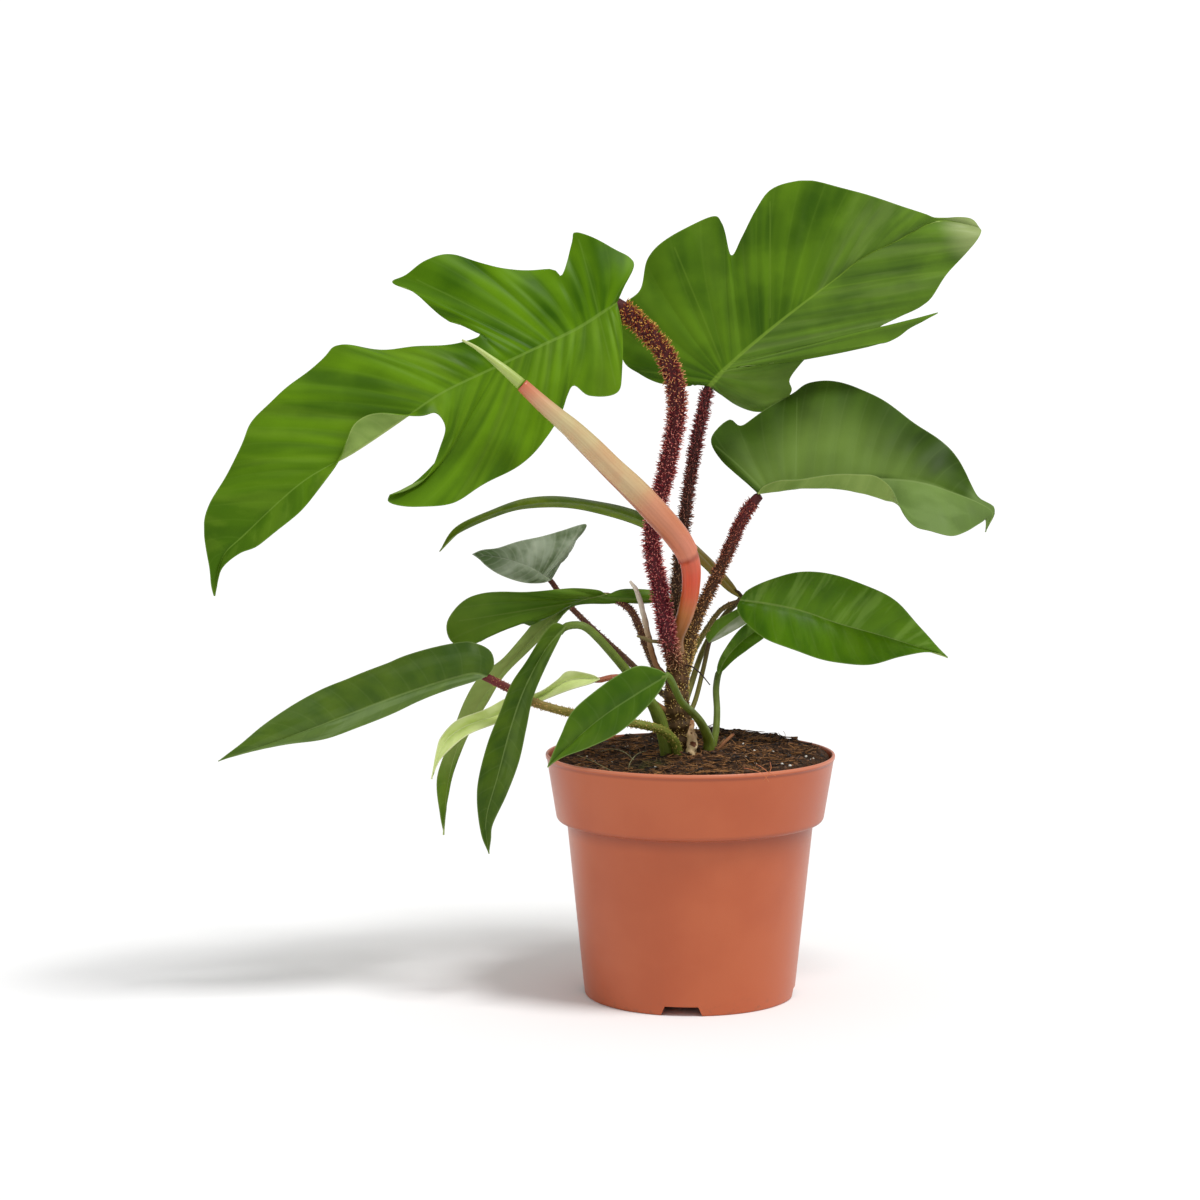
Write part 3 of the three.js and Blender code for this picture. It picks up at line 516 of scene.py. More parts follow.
finishes = {
    "bright": leaf_finish("bright_leaf", (42, 80, 0), (96, 138, 6), (116, 148, 56), shine=0.07,
                          sheen=(0.04, 0.22), painted_sheen_tone=(130, 160, 48), bands=0.68,
                          pale=((40, 78, 0), "foot_share", 0.5, 0.9, 1, 1.2)),
    "broad": leaf_finish("broad_leaf", (48, 82, 4), (94, 132, 18), (124, 156, 54), spine=0.65,
                         sheen=(0.04, 0.2), painted_sheen_tone=(150, 166, 104),
                         pale=((158, 172, 112), "tip_mm", -2, -1, 12, 30), shine=0.07),
    "middle": leaf_finish("middle_leaf", (26, 48, 0), (56, 84, 6), (128, 150, 84), vein=0.05,
                          sheen=(0.08, 0.66), painted_sheen_tone=(126, 152, 84), relief=0.12, shine=0.04,
                          pale=((106, 132, 56), "edge_mm", 4, 56, 200, 300), streaks=(0.2, 2.6),
                          patchy=0.25),
    "three": leaf_finish("three_lobed_leaf", (62, 96, 12), (98, 128, 34), (150, 166, 96),
                         pale=((150, 168, 92), "foot_share", 0.2, 0.34, 0.7, 0.9)),
    "deep": leaf_finish("deep_leaf", (44, 74, 2), (80, 106, 16), (128, 148, 84),
                        sheen=(0.08, 0.28), painted_sheen_tone=(158, 178, 130), spine=0.4, shine=0.12,
                        streaks=(0.16, 3.2)),
    "hanging": leaf_finish("hanging_leaf", (42, 70, 0), (76, 102, 10), (128, 148, 84),
                           sheen=(0.04, 0.12), painted_sheen_tone=(150, 172, 110), spine=0.4, shine=0.1,
                           streaks=(0.16, 3.2)),
    "long": leaf_finish("long_leaf", (68, 90, 6), (100, 116, 20), (134, 150, 84), spine=0.3,
                        pale=((148, 116, 46), "foot_share", -0.1, 0, 0.2, 0.34), shine=0.06),
    "glossy": leaf_finish("glossy_leaf", (50, 92, 0), (88, 130, 2), (136, 160, 84), gloss=0.26,
                          sheen=(0.26, 0.05), painted_sheen_tone=(170, 204, 104), spine=0.5, shine=0.08,
                          streaks=(1.3, 0.9), patchy=0.7),
    "front": leaf_finish("front_leaf", (52, 86, 6), (80, 112, 18), (126, 152, 80), margin=0.6,
                         gloss=0.28, spine=0.35, shine=0.14),
    "young": leaf_finish("young_leaf", (194, 214, 114), (234, 246, 174), (234, 240, 190),
                         gloss=0.45, margin=0.6),
    "grey": leaf_finish("grey_leaf", (82, 102, 58), (186, 196, 174), (190, 198, 176), gloss=0.5,
                        relief=0.5, spacing=0.5, vein=0.2, spine=0.3, cloud_scale=80.0,
                        pale=((76, 100, 52), "foot_share", 0.45, 0.8, 1, 1.2)),
    "back": leaf_finish("back_leaf", (84, 124, 26), (114, 152, 42), (160, 176, 120),
                        sheen=(0, 0.95), painted_sheen_tone=(206, 212, 192)),
    "under": leaf_finish("leaf_underside", (106, 134, 58), (144, 168, 88), (176, 192, 116),
                         gloss=0.5, relief=0.3),
}
print("made", len(finishes), "leaf finishes")

# %% [markdown]
# These are the leaves as they show from the front. A rib is a few points, each a pixel column, a
# pixel row and a depth in millimetres. A margin point has its foot on the rib, counted in the
# rib's points, then its pixel column and row. A fourth number brings it nearer to the eye, and a
# fifth lets the sheet sag half way. Lean says how much deeper the leaf lies for each millimetre
# above its rib, and arch how far each half bulges, as a share of its width. Ripple is how far
# the margin waves and rib_mm half the width of the rib's foot, both in millimetres. Lobes are
# the feet of the veins that run out to a lobe. Dip makes the side veins deeper or flatter than
# usual, and smooth is how often the sheet is smoothed, where that isn't the usual number.

# %% The leaves' ribs and margins
blades = {
    "left_large": {
        "finish": "bright", "lean": 0.4, "arch": 0.05, "ripple": 1.6, "rib_mm": 1.5,
        "lobes": {"near": (0.16, 0.5, 1.95), "far": (0.5, 1.8, 2.9)},
        "rib": [(617, 302, -5), (580, 327, -12), (540, 346, -20), (500, 365, -28),
                (445, 391, -38), (410, 414, -45), (355, 451, -54), (302, 482, -62),
                (245, 534, -70), (222, 558, -73), (214, 596, -76)],
        "near": [(0.08, 625, 285), (0.16, 634, 266), (0.26, 629, 256), (0.36, 612, 248),
                 (0.5, 577, 232), (0.65, 572, 242), (0.95, 562, 276), (1.1, 550, 269),
                 (1.4, 500, 269), (1.7, 455, 254), (1.82, 427, 261), (1.95, 406, 274),
                 (2.05, 392, 281), (2.2, 410, 291), (2.45, 442, 315), (2.9, 477, 333),
                 (3.15, 466, 341), (3.6, 395, 349), (4, 341, 346), (4.2, 322, 359),
                 (4.9, 277, 397), (5.6, 252, 420), (6.1, 240, 450), (7.5, 210, 504),
                 (8.1, 204, 532), (9, 209, 566), (9.6, 211, 585)],
        "far": [(0.15, 622, 330), (0.3, 622, 372), (0.5, 617, 392), (0.8, 589, 396),
                (0.95, 572, 387), (1.3, 560, 415), (1.8, 532, 455, 0, 3), (2.4, 472, 492, 0, 8),
                (2.65, 445, 504, 0, 10), (2.85, 412, 508, 0, 11), (3, 388, 500, 0, 12),
                (3.15, 407, 491, 0, 11), (3.4, 427, 472, 0, 8), (3.7, 442, 450, 0, 5),
                (4, 446, 430, 0, 2), (4.5, 436, 414),
                (4.9, 420, 416, 3), (5.4, 380, 413, 9), (5.7, 357, 422, 10), (6.05, 346, 440, 8),
                (6.45, 336, 466, 2), (7.1, 302, 509), (7.7, 262, 543), (8.2, 240, 553),
                (8.9, 224, 566), (9.5, 218, 580)],
    },
    "top_right": {
        "finish": "broad", "lean": 0.15, "arch": 0.05, "ripple": 1.2, "rib_mm": 2.2,
        "lobes": {"near": (0.2, 0.62, 2.0), "far": (0.5, 3.6)},
        "rib": [(709, 386, 36), (735, 360, 38), (770, 330, 41), (800, 306, 43), (835, 279, 46),
                (862, 258, 48), (897, 241, 50), (936, 221, 53), (980, 228, 60)],
        "near": [(0.06, 690, 384), (0.12, 664, 384), (0.18, 640, 374), (0.24, 622, 358),
                 (0.33, 620, 311), (0.42, 640, 290), (0.5, 648, 258), (0.62, 670, 237),
                 (0.8, 710, 217), (0.95, 722, 224), (1.35, 731, 255), (1.6, 742, 237),
                 (1.8, 755, 211), (2, 770, 190), (2.3, 793, 182), (2.7, 820, 182),
                 (3.8, 880, 199), (5, 905, 207), (6.2, 925, 214), (7, 938, 218),
                 (7.5, 958, 217), (7.85, 972, 219)],
        "far": [(0.06, 720, 394, -5), (0.12, 737, 406, -11), (0.2, 760, 411, -14),
                (0.28, 782, 404, -14), (0.35, 792, 391, -11), (0.4, 790, 378, -8),
                (0.48, 807, 356, -3), (0.55, 830, 345),
                (0.62, 862, 344), (0.68, 884, 343), (0.72, 898, 337), (0.76, 910, 328),
                (0.8, 924, 321), (0.83, 938, 313), (0.87, 925, 317), (0.92, 908, 325),
                (1, 880, 328), (1.4, 897, 318), (1.8, 914, 310), (2.1, 923, 305),
                (2.5, 932, 297), (3.4, 947, 274), (4.7, 968, 251), (6.4, 980, 236)],
    },
    "middle_right": {
        "finish": "middle", "lean": 0.85, "arch": 0.04, "ripple": 1.0, "rib_mm": 1.3, "smooth": 4,
        "dip": 0.3, "lobes": {"near": (0.17, 0.9)},
        "rib": [(758, 493, 2), (800, 485, 3), (850, 479, 4), (888, 479, 4), (918, 482, 3),
                (946, 490, 2), (991, 510, 0), (986, 532, -4)],
        "near": [(0.06, 740, 478), (0.12, 722, 460), (0.17, 711, 443), (0.22, 717, 430),
                 (0.28, 730, 419), (0.36, 740, 425), (0.5, 754, 418), (0.85, 792, 393),
                 (1.1, 812, 383), (1.8, 852, 385), (2.7, 898, 411), (4, 942, 443),
                 (4.7, 957, 457), (5.1, 965, 470), (5.5, 971, 485), (5.8, 978, 498),
                 (6.2, 995, 509)],
        "far": [(0.2, 764, 486, 6, 2), (0.5, 780, 480, 12, 4), (1, 804, 479, 14, 4),
                (1.6, 838, 474, 16, 7), (2.1, 860, 474, 16, 10), (2.5, 875, 476, 16, 12),
                (2.9, 888, 486, 14, 12), (3.2, 899, 503, 10, 7), (3.6, 914, 525, 5, 2),
                (4, 930, 532), (4.6, 950, 536), (5.3, 966, 531), (5.8, 979, 524),
                (6.3, 985, 519)],
    },
    "small_grey": {
        "finish": "grey", "lean": 0.3, "arch": 0.08, "ripple": 1.2, "rib_mm": 0.9, "dip": 2,
        "lobes": {"near": (0.34,)},
        "rib": [(551, 580, 42), (530, 567, 42), (502, 558, 42), (472, 554, 43)],
        "near": [(0.1, 561, 563), (0.18, 569, 546), (0.26, 580, 536), (0.34, 586, 524),
                 (0.5, 562, 531), (0.8, 543, 536), (1.3, 520, 541), (2, 498, 548),
                 (2.6, 482, 550)],
        "far": [(0.3, 543, 583), (0.7, 528, 583), (1.1, 514, 580), (1.7, 498, 574),
                (2.3, 486, 566), (2.7, 479, 559)],
    },
    "three_lobed": {
        "finish": "three", "lean": 0.1, "arch": 0.05, "ripple": 0.6, "rib_mm": 1.4,
        "lobes": {"near": (0.85,), "far": (0.3,)},
        "rib": [(606, 595, 14), (580, 601, 18), (558, 613, 24), (524, 648, 29), (498, 678, 31),
                (478, 706, 31), (460, 740, 29), (448, 785, 27), (444, 835, 25)],
        "near": [(0.1, 598, 590, 2), (0.25, 574, 588, 5), (0.4, 544, 591, 10),
                 (0.55, 500, 592, 13), (0.7, 466, 599, 14), (0.85, 447, 622, 14),
                 (1, 453, 643, 14), (1.15, 478, 643, 14), (1.35, 504, 627, 12),
                 (1.6, 530, 614, 7), (2.1, 536, 618), (3, 506, 655), (4, 480, 676),
                 (5, 464, 702), (6, 450, 740), (7, 437, 778), (7.6, 440, 815)],
        "far": [(0.1, 625, 589, -2), (0.2, 655, 591, -2), (0.3, 672, 600, -2),
                (0.45, 652, 603, -2), (0.7, 615, 603), (1.5, 574, 606), (2.1, 556, 624),
                (3, 530, 650), (4, 504, 676), (5, 488, 702), (6, 470, 732), (7, 453, 774),
                (7.6, 446, 812)],
    },
    "hanging": {
        "finish": "hanging", "lean": 0.1, "arch": 0.08, "ripple": 0.8, "rib_mm": 1.0,
        "rib": [(566, 626, -38), (545, 650, -40), (524, 690, -42), (510, 730, -43),
                (498, 775, -44), (486, 820, -43), (489, 854, -40)],
        "near": [(0.15, 554, 623), (0.5, 542, 636), (1.1, 526, 662), (1.8, 511, 684),
                 (2.5, 500, 712), (3.2, 488, 742), (3.9, 479, 776), (4.6, 477, 802),
                 (5.3, 481, 834)],
        "far": [(0.3, 562, 634), (1, 547, 664), (1.9, 533, 698), (2.8, 526, 730),
                (3.5, 519, 762), (4.3, 506, 796), (5.1, 493, 824), (5.6, 491, 840)],
    },
    "low_left": {
        "finish": "deep", "lean": 0.35, "arch": 0.08, "ripple": 0.8, "rib_mm": 1.1,
        "rib": [(487, 676, -30), (470, 674, -31), (430, 685, -33), (380, 702, -36),
                (334, 720, -39), (280, 740, -43), (218, 761, -48)],
        "near": [(0.2, 494, 666), (0.4, 491, 652), (0.8, 478, 644), (1.3, 460, 642),
                 (2.1, 410, 654), (2.6, 385, 664), (3.2, 350, 678), (3.9, 318, 691),
                 (4.7, 270, 720), (5.4, 241, 744)],
        "far": [(0.6, 476, 681), (1.3, 450, 689), (2.1, 420, 701), (2.7, 394, 713),
                (3.4, 360, 727), (4.1, 325, 739), (4.8, 285, 745), (5.5, 250, 752)],
    },
    "front": {
        "finish": "front", "lean": 0.2, "arch": 0.08, "ripple": 0.5, "rib_mm": 0.9,
        "rib": [(668, 675, -60), (640, 692, -61), (605, 715, -62), (575, 740, -62),
                (547, 767, -60)],
        "near": [(0.3, 657, 669), (0.8, 638, 666), (1.4, 618, 675), (2.1, 594, 692),
                 (2.8, 572, 712), (3.3, 561, 735), (3.7, 552, 755)],
        "far": [(0.4, 662, 688), (0.9, 647, 707), (1.6, 620, 732), (2.3, 590, 747),
                (3.1, 564, 757)],
    },
    "young_folded": {
        "finish": "young", "lean": 0.3, "arch": 0.06, "ripple": 0.6, "rib_mm": 0.8,
        "rib": [(600, 679, -15), (570, 680, -16), (538, 698, -17), (500, 714, -18),
                (464, 727, -19), (443, 745, -20), (431, 779, -20)],
        "near": [(0.3, 590, 674, 2), (1, 568, 671, 3), (1.5, 556, 681, 3), (2, 537, 693, 3),
                 (2.8, 509, 697, 3), (3.5, 486, 709, 3), (4.1, 457, 720, 2), (4.8, 441, 737, 2),
                 (5.3, 436, 752)],
        "far": [(0.4, 590, 684, 2), (1, 569, 690, 3), (1.9, 538, 703, 3), (2.9, 502, 721, 3),
                (3.9, 470, 734, 2), (4.8, 450, 749, 2), (5.4, 438, 763)],
    },
    "low_right": {
        "finish": "glossy", "lean": 0.4, "arch": 0.07, "ripple": 0.8, "rib_mm": 1.1,
        "rib": [(740, 600, 20), (770, 604, 20), (802, 611, 20), (840, 624, 20), (890, 638, 20),
                (948, 657, 22)],
        "near": [(0.2, 748, 590), (0.7, 772, 579), (1.4, 800, 572), (2.2, 835, 575),
                 (3, 867, 586), (3.6, 897, 602), (4.2, 920, 627), (4.6, 937, 646)],
        "far": [(0.15, 737, 609), (0.5, 745, 622), (1, 767, 640), (1.8, 800, 652),
                (2.6, 832, 662), (3.3, 867, 665), (4.1, 900, 657), (4.6, 930, 652)],
    },
    "long_back": {
        "finish": "long", "lean": 0, "arch": 0.04, "ripple": 0.3, "rib_mm": 0.9,
        "rib": [(741, 598, 56), (718, 573, 58), (690, 545, 60), (650, 524, 60), (600, 507, 60),
                (550, 502, 60), (504, 510, 59), (465, 527, 58), (439, 551, 56)],
        "near": [(0.5, 732, 583, -6), (1.5, 708, 556, -10), (2.5, 672, 527, -11),
                 (3.5, 630, 509, -11), (4.5, 575, 498, -11), (5.5, 528, 498, -10),
                 (6.3, 490, 511, -7), (7.2, 456, 527, -4)],
        "far": [(0.5, 727, 590, 6), (1.5, 700, 564, 9), (2.5, 667, 540, 10), (3.5, 625, 521, 10),
                (4.5, 577, 509, 10), (5.5, 528, 508, 9), (6.3, 492, 518, 6), (7.2, 457, 534, 3)],
    },
    "edge_right": {
        "finish": "glossy", "lean": 0, "arch": 0.06, "ripple": 0.2, "rib_mm": 0.8,
        "rib": [(718, 675, 38), (726, 659, 40), (740, 643, 42), (758, 629, 43), (776, 614, 44)],
        "near": [(0.5, 717, 667), (1.2, 723, 652), (2.1, 741, 628), (3.2, 764, 614)],
        "far": [(0.5, 724, 670), (1.2, 734, 660), (2, 750, 648), (3, 769, 633)],
    },
    "pale_back": {
        "finish": "back", "lean": 0, "arch": 0.06, "ripple": 0.2, "rib_mm": 0.7,
        "rib": [(709, 643, 32), (722, 629, 33), (742, 614, 34), (760, 604, 35)],
        "near": [(0.3, 705, 634), (0.9, 713, 622), (1.8, 735, 610), (2.5, 750, 603)],
        "far": [(0.4, 715, 641), (1, 730, 633), (1.9, 748, 622), (2.5, 757, 612)],
    },
}
print("read", len(blades), "leaves")

# %% [markdown]
# A leaf's sheet is a grid. Its columns cross the leaf, each from one margin over the rib to the
# other, along the side veins. Its rows run from the stalk to the tip. Drawing a filled outline
# would be easier, but then no row would follow a vein, and neither relief nor colour could.

# %% Margins and columns
rows_each_side = 12
column_step = 2.2 * mm


def edge_of(blade, side):
    last = len(blade["rib"]) - 1
    rib_pixels = [Vector(reading) for reading in blade["rib"]]
    feet, sags, points = [0], [0], [place(*blade["rib"][0])]
    for foot, column, row, *shape in blade[side]:
        nearer, sag = (list(shape) + [0, 0])[:2]
        rib_pixel = smooth_point(rib_pixels, foot)
        climb = (rib_pixel.y - row) / pixels_per_mm
        points.append(place(column, row, rib_pixel.z + blade["lean"] * climb - nearer))
        feet.append(foot)
        sags.append(sag * mm)
    points.append(place(*blade["rib"][last]))
    return {"feet": feet + [last], "sags": sags + [0], "points": points}


def edge_at(edge, foot):
    """The margin's point whose foot is there, and the sheet's sag on the way to it."""
    feet, sags = edge["feet"], edge["sags"]
    start = max(i for i in range(len(feet) - 1) if feet[i] <= foot or i == 0)
    share = min(1, max(0, (foot - feet[start]) / (feet[start + 1] - feet[start])))
    sag = sags[start] + share * (sags[start + 1] - sags[start])
    return smooth_point(edge["points"], start + share), sag


def column_feet(edges):
    """The feet of the columns, close enough that no margin step is longer than column_step."""
    marks = sorted(set(edges["near"]["feet"] + edges["far"]["feet"]))
    feet = [marks[0]]
    for before, after in zip(marks, marks[1:]):
        steps = [(edge_at(edge, after)[0] - edge_at(edge, before)[0]).length
                 for edge in edges.values()]
        count = max(1, math.ceil(max(steps) / column_step))
        feet += [before + (after - before) * (i + 1) / count for i in range(count)]
    return feet


def edges_of(blade):
    return {side: edge_of(blade, side) for side in ("near", "far")}


print("the front leaf has", len(column_feet(edges_of(blades["front"]))), "columns")

# %% [markdown]
# Each half of the sheet then gets its relief. It arches between rib and margin, dips where a side
# vein runs, sinks into a channel at the rib and ripples gently near the margin. The relief is
# small beside the leaf, yet the light shows all of it. A bump map alone would leave the sheet
# flat when it is seen from the side.

# %% The sheet of a leaf
centimetre = 0.01
widest_arch = 45 * mm
vein_dip = 0.4 * mm
dip_middle = 0.6
ripple_length = 42 * mm
ripple_lag = {"near": 0, "far": 2}
calm_width = 20 * mm
rib_channel = 0.5 * mm
rib_channel_width = 2 * mm
rib_taper = 0.7
lobe_vein_reach = 0.92
usual_smoothing = 16


def relief(blade, side, share, along, width, edge_walk, rib_gap):
    """How far a point is lifted off the smooth sheet. A narrow part is calmer than a broad one."""
    crown = math.sin(math.pi * share)
    arch = blade["arch"] * min(width, widest_arch) * crown
    turn = math.pi * (along - vein_bend * share ** 2) / vein_spacing
    dip = vein_dip * blade.get("dip", 1) * (abs(math.sin(turn)) - dip_middle) * crown
    wave = math.sin(2 * math.pi * edge_walk / ripple_length + ripple_lag[side])
    ripple = blade["ripple"] * mm * share ** 3 * wave
    calm = min(1, width / calm_width)
    channel = rib_channel * math.exp(-(rib_gap / rib_channel_width) ** 2)
    return arch + calm * (dip + ripple) - channel


def columns_of(blade, edges, feet):
    """What each column needs: its rib point, and for each side its end and how far along it is."""
    ribs = [place(*reading) for reading in blade["rib"]]
    columns = []
    for foot in feet:
        column = {"rib": smooth_point(ribs, foot), "share": foot / (len(ribs) - 1)}
        for side, edge in edges.items():
            end, sag = edge_at(edge, foot)
            column[side] = {"end": end, "sag": sag, "along": 0, "walk": 0}
            if columns:
                before = columns[-1]
                margin_step = (end - before[side]["end"]).length
                rib_step = (column["rib"] - before["rib"]).length
                step = (margin_step + rib_step) / 2
                column[side]["along"] = before[side]["along"] + step / centimetre
                column[side]["walk"] = before[side]["walk"] + margin_step
        columns.append(column)
    return columns


def lobe_veins(blade, edges):
    """For each side the two ends of each lobe vein, on the rib and on the margin."""
    ribs = [place(*reading) for reading in blade["rib"]]
    lobes = blade.get("lobes", {})
    return {side: [(smooth_point(ribs, foot), edge_at(edge, foot)[0])
                   for foot in lobes.get(side, ())] for side, edge in edges.items()}


def lobe_gap(point, veins):
    """The distance to the nearest lobe vein, which stops a little short of the margin."""
    gaps = [(point - min(max(part, 0), lobe_vein_reach) * (end - start) - start).length
            for start, end in veins
            for part in [geometry.intersect_point_line(point, start, end)[1]]]
    return min(gaps, default=1)


def blade_sheet(blade):
    edges = edges_of(blade)
    columns = columns_of(blade, edges, column_feet(edges))
    bm = bmesh.new()
    bm.loops.layers.uv.new("leaf")
    for name in ("rib_share", "lobe_mm", "edge_mm", "tip_mm", "foot_share"):
        bm.verts.layers.float.new(name)
    last = len(columns) - 1
    bmesh.ops.create_grid(bm, x_segments=last, y_segments=2 * rows_each_side, size=1)
    spots = {}
    for vert in bm.verts:
        index = round((vert.co.x + 1) / 2 * last)
        row = round(vert.co.y * rows_each_side)
        spots[vert] = (index, row)
        side = columns[index]["near" if row < 0 else "far"]
        share = abs(row) / rows_each_side
        vert.co = columns[index]["rib"].lerp(side["end"], share)
        vert.co.z -= side["sag"] * 4 * share * (1 - share)
    inner = [vert for vert, (index, row) in spots.items()
             if 0 < abs(row) < rows_each_side and 0 < index < last]
    for _ in range(blade.get("smooth", usual_smoothing)):
        bmesh.ops.smooth_vert(bm, verts=inner, factor=0.5, use_axis_x=True, use_axis_y=True,
                              use_axis_z=True)
    bm.normal_update()
    if sum(face.normal.y * face.calc_area() for face in bm.faces) > 0:
        bmesh.ops.reverse_faces(bm, faces=bm.faces)
        bm.normal_update()
    add_measures(bm, blade, columns, spots, lobe_veins(blade, edges))
    bmesh.ops.remove_doubles(bm, verts=bm.verts, dist=0.01 * mm)
    return bm


def add_measures(bm, blade, columns, spots, veins):
    """Gives the sheet its measures, its relief and its UV map."""
    layers = bm.verts.layers.float
    normals = {vert: vert.normal.copy() for vert in bm.verts}
    for vert, (index, row) in spots.items():
        side = "near" if row < 0 else "far"
        column = columns[index]
        half = column[side]
        share = abs(row) / rows_each_side
        width = (half["end"] - column["rib"]).length
        rib_gap = (vert.co - column["rib"]).length
        rib_half = blade["rib_mm"] * mm * (1 - rib_taper * column["share"])
        vert[layers["foot_share"]] = column["share"]
        vert[layers["rib_share"]] = rib_gap / rib_half
        vert[layers["lobe_mm"]] = lobe_gap(vert.co, veins[side]) / mm
        vert[layers["edge_mm"]] = (vert.co - half["end"]).length / mm
        vert[layers["tip_mm"]] = (vert.co - columns[-1]["rib"]).length / mm
        lift = relief(blade, side, share, half["along"], width, half["walk"], rib_gap)
        vert.co += normals[vert] * lift
    uv = bm.loops.layers.uv["leaf"]
    for face in bm.faces:
        side = "near" if min(spots[vert][1] for vert in face.verts) < 0 else "far"
        turn, shift = (-0.5, 0) if side == "near" else (0.5, far_half)
        for loop in face.loops:
            index, row = spots[loop.vert]
            share = abs(row) / rows_each_side
            loop[uv].uv = (columns[index][side]["along"] + shift, 0.5 + turn * share)


front_lift = relief(blades["front"], "near", 0.5, 0, calm_width, 0, calm_width / 2)
print("half way to its margin the front leaf rises", round(front_lift / mm, 2), "mm")

# %% [markdown]
# A sheet becomes a leaf when it gets its thickness. Solidify gives the second side its own
# material, so the paler underside shows wherever a leaf curls over. Two sheets set back to back
# would also do, but they'd need their margins joined by hand.

# %% Make the leaves
blade_thickness = 0.55 * mm
leaf_crease = 50


def make_leaf(name, blade):
    finish = finishes[blade["finish"]]
    back = finishes["grey"] if blade["finish"] == "grey" else finishes["under"]
    leaf = make_piece(blade_sheet(blade), f"{name}_leaf", [finish, back], f"{name}_blade")
    thicken = leaf.modifiers.new("thickness", "SOLIDIFY")
    thicken.thickness = blade_thickness
    thicken.offset = 0
    thicken.material_offset = 1
    settle(leaf, leaf_crease)
    print_faces(leaf)


for name, blade in blades.items():
    make_leaf(name, blade)

# %% [markdown]
# A stalk is a round bar along a smooth route. Each point of a route is a pixel column, a pixel
# row, a depth and a radius, both in millimetres. Bristles are how many it carries and bristle_mm
# how long they are. The stalk's top runs a little way along the underside of its leaf's rib, for
# a part of the rib's first step that is its seat. The routes are read like the ribs, because a
# stalk then meets its leaf in the picture and in depth alike.

# %% The stalks' routes
stalks = {
    "left_large": {
        "finish": "crimson", "bristles": 4200, "bristle_mm": 3.6,
        "route": [(680, 675, 1, 2.4), (671, 652, -8, 3.5), (667, 636, -10, 3.8),
                  (660, 590, -6, 4), (652, 535, 2, 4), (667, 468, 6, 4.2), (677, 405, 6, 4.4),
                  (666, 356, 4, 4.6), (644, 329, 2, 4.4)],
    },
    "top_right": {
        "finish": "dark_crimson", "bristles": 2300, "bristle_mm": 3.4,
        "route": [(681, 660, 5, 2.6), (677, 642, 13, 3), (674, 618, 18, 3), (680, 560, 22, 2.9),
                  (687, 500, 26, 2.8), (697, 440, 32, 2.8), (704, 405, 37, 2.8)],
    },
    "middle_right": {
        "finish": "brown_crimson", "bristles": 2000, "bristle_mm": 2.6, "seat": 0.06,
        "route": [(682, 676, 1, 3), (687, 655, 6, 3.2), (694, 625, 10, 3.2), (705, 600, 11, 3),
                  (724, 560, 10, 3), (744, 516, 6, 2.9)],
    },
    "small_grey": {
        "finish": "brown", "bristles": 420, "bristle_mm": 1.2,
        "route": [(674, 702, 3, 1.8), (656, 688, 14, 1.9), (626, 659, 30, 1.9),
                  (594, 630, 40, 1.8), (566, 602, 44, 1.7)],
    },
    "three_lobed": {
        "finish": "brown", "bristles": 620, "bristle_mm": 1.5,
        "route": [(674, 684, 2, 2.1), (656, 668, 8, 2.2), (641, 632, 13, 2.2),
                  (632, 612, 16, 2.1), (619, 601, 17, 2)],
    },
    "hanging": {
        "finish": "green",
        "route": [(668, 785, -9, 3.6), (666, 748, -9, 3.9), (659, 718, -11, 4.1),
                  (648, 698, -17, 3), (626, 670, -28, 2.7), (600, 640, -34, 2.5),
                  (583, 626, -36, 2.3)],
    },
    "low_left": {
        "finish": "two_tone", "bristles": 900, "bristle_mm": 1.3,
        "route": [(679, 785, -12, 2.8), (678, 752, -12, 2.8), (672, 738, -16, 2.7),
                  (656, 728, -22, 2.5), (620, 721, -27, 2.5), (572, 713, -30, 2.5),
                  (536, 703, -31, 2.5), (510, 689, -30, 2.4)],
    },
    "front": {
        "finish": "green",
        "route": [(708, 782, -2, 3.4), (709, 752, -2, 3.6), (708, 738, -4, 3.1),
                  (701, 723, -14, 2.6), (692, 712, -26, 2.3), (681, 701, -42, 2.1)],
    },
    "young_folded": {
        "finish": "salmon", "bristles": 40, "bristle_mm": 0.8,
        "route": [(674, 716, 0, 1.9), (650, 700, -4, 1.9), (628, 680, -10, 1.8),
                  (614, 677, -13, 1.7)],
    },
    "low_right": {
        "finish": "olive", "bristles": 420, "bristle_mm": 1.1,
        "route": [(680, 697, 3, 1.9), (685, 682, 11, 1.9), (692, 655, 19, 1.8),
                  (706, 630, 23, 1.6), (722, 609, 23, 1.5)],
    },
    "long_back": {
        "finish": "olive",
        "route": [(682, 712, 5, 2), (690, 688, 26, 1.9), (704, 648, 42, 1.7),
                  (724, 616, 53, 1.7)],
    },
    "edge_right": {
        "finish": "green",
        "route": [(713, 780, 9, 2), (713, 748, 9, 2.2), (716, 730, 13, 2.1), (717, 710, 20, 2),
                  (716, 690, 30, 2)],
    },
    "pale_back": {
        "finish": "olive",
        "route": [(682, 724, 6, 1.5), (694, 704, 18, 1.5), (703, 670, 28, 1.4)],
    },
}
seat_foot = 0.3
seat_taper = 0.8
seat_sink = 1.05
seat_sheet = 0.4


def seated_route(name):
    """A stalk's route with its last stretch along the underside of the rib of its leaf."""
    blade, route = blades[name], stalks[name]["route"]
    rib_pixels = [Vector(reading) for reading in blade["rib"]]
    radius = route[-1][3]
    far_foot = stalks[name].get("seat", seat_foot)
    seat = []
    for foot, thickness in ((0, radius), (far_foot, seat_taper * radius)):
        column, row, depth = smooth_point(rib_pixels, foot)
        under = (seat_sheet + seat_sink * thickness) / math.hypot(1, blade["lean"])
        lower = blade["lean"] * under * pixels_per_mm
        seat.append((column, row + lower, depth + under, thickness))
    return route + seat


print("read", len(stalks), "stalks")

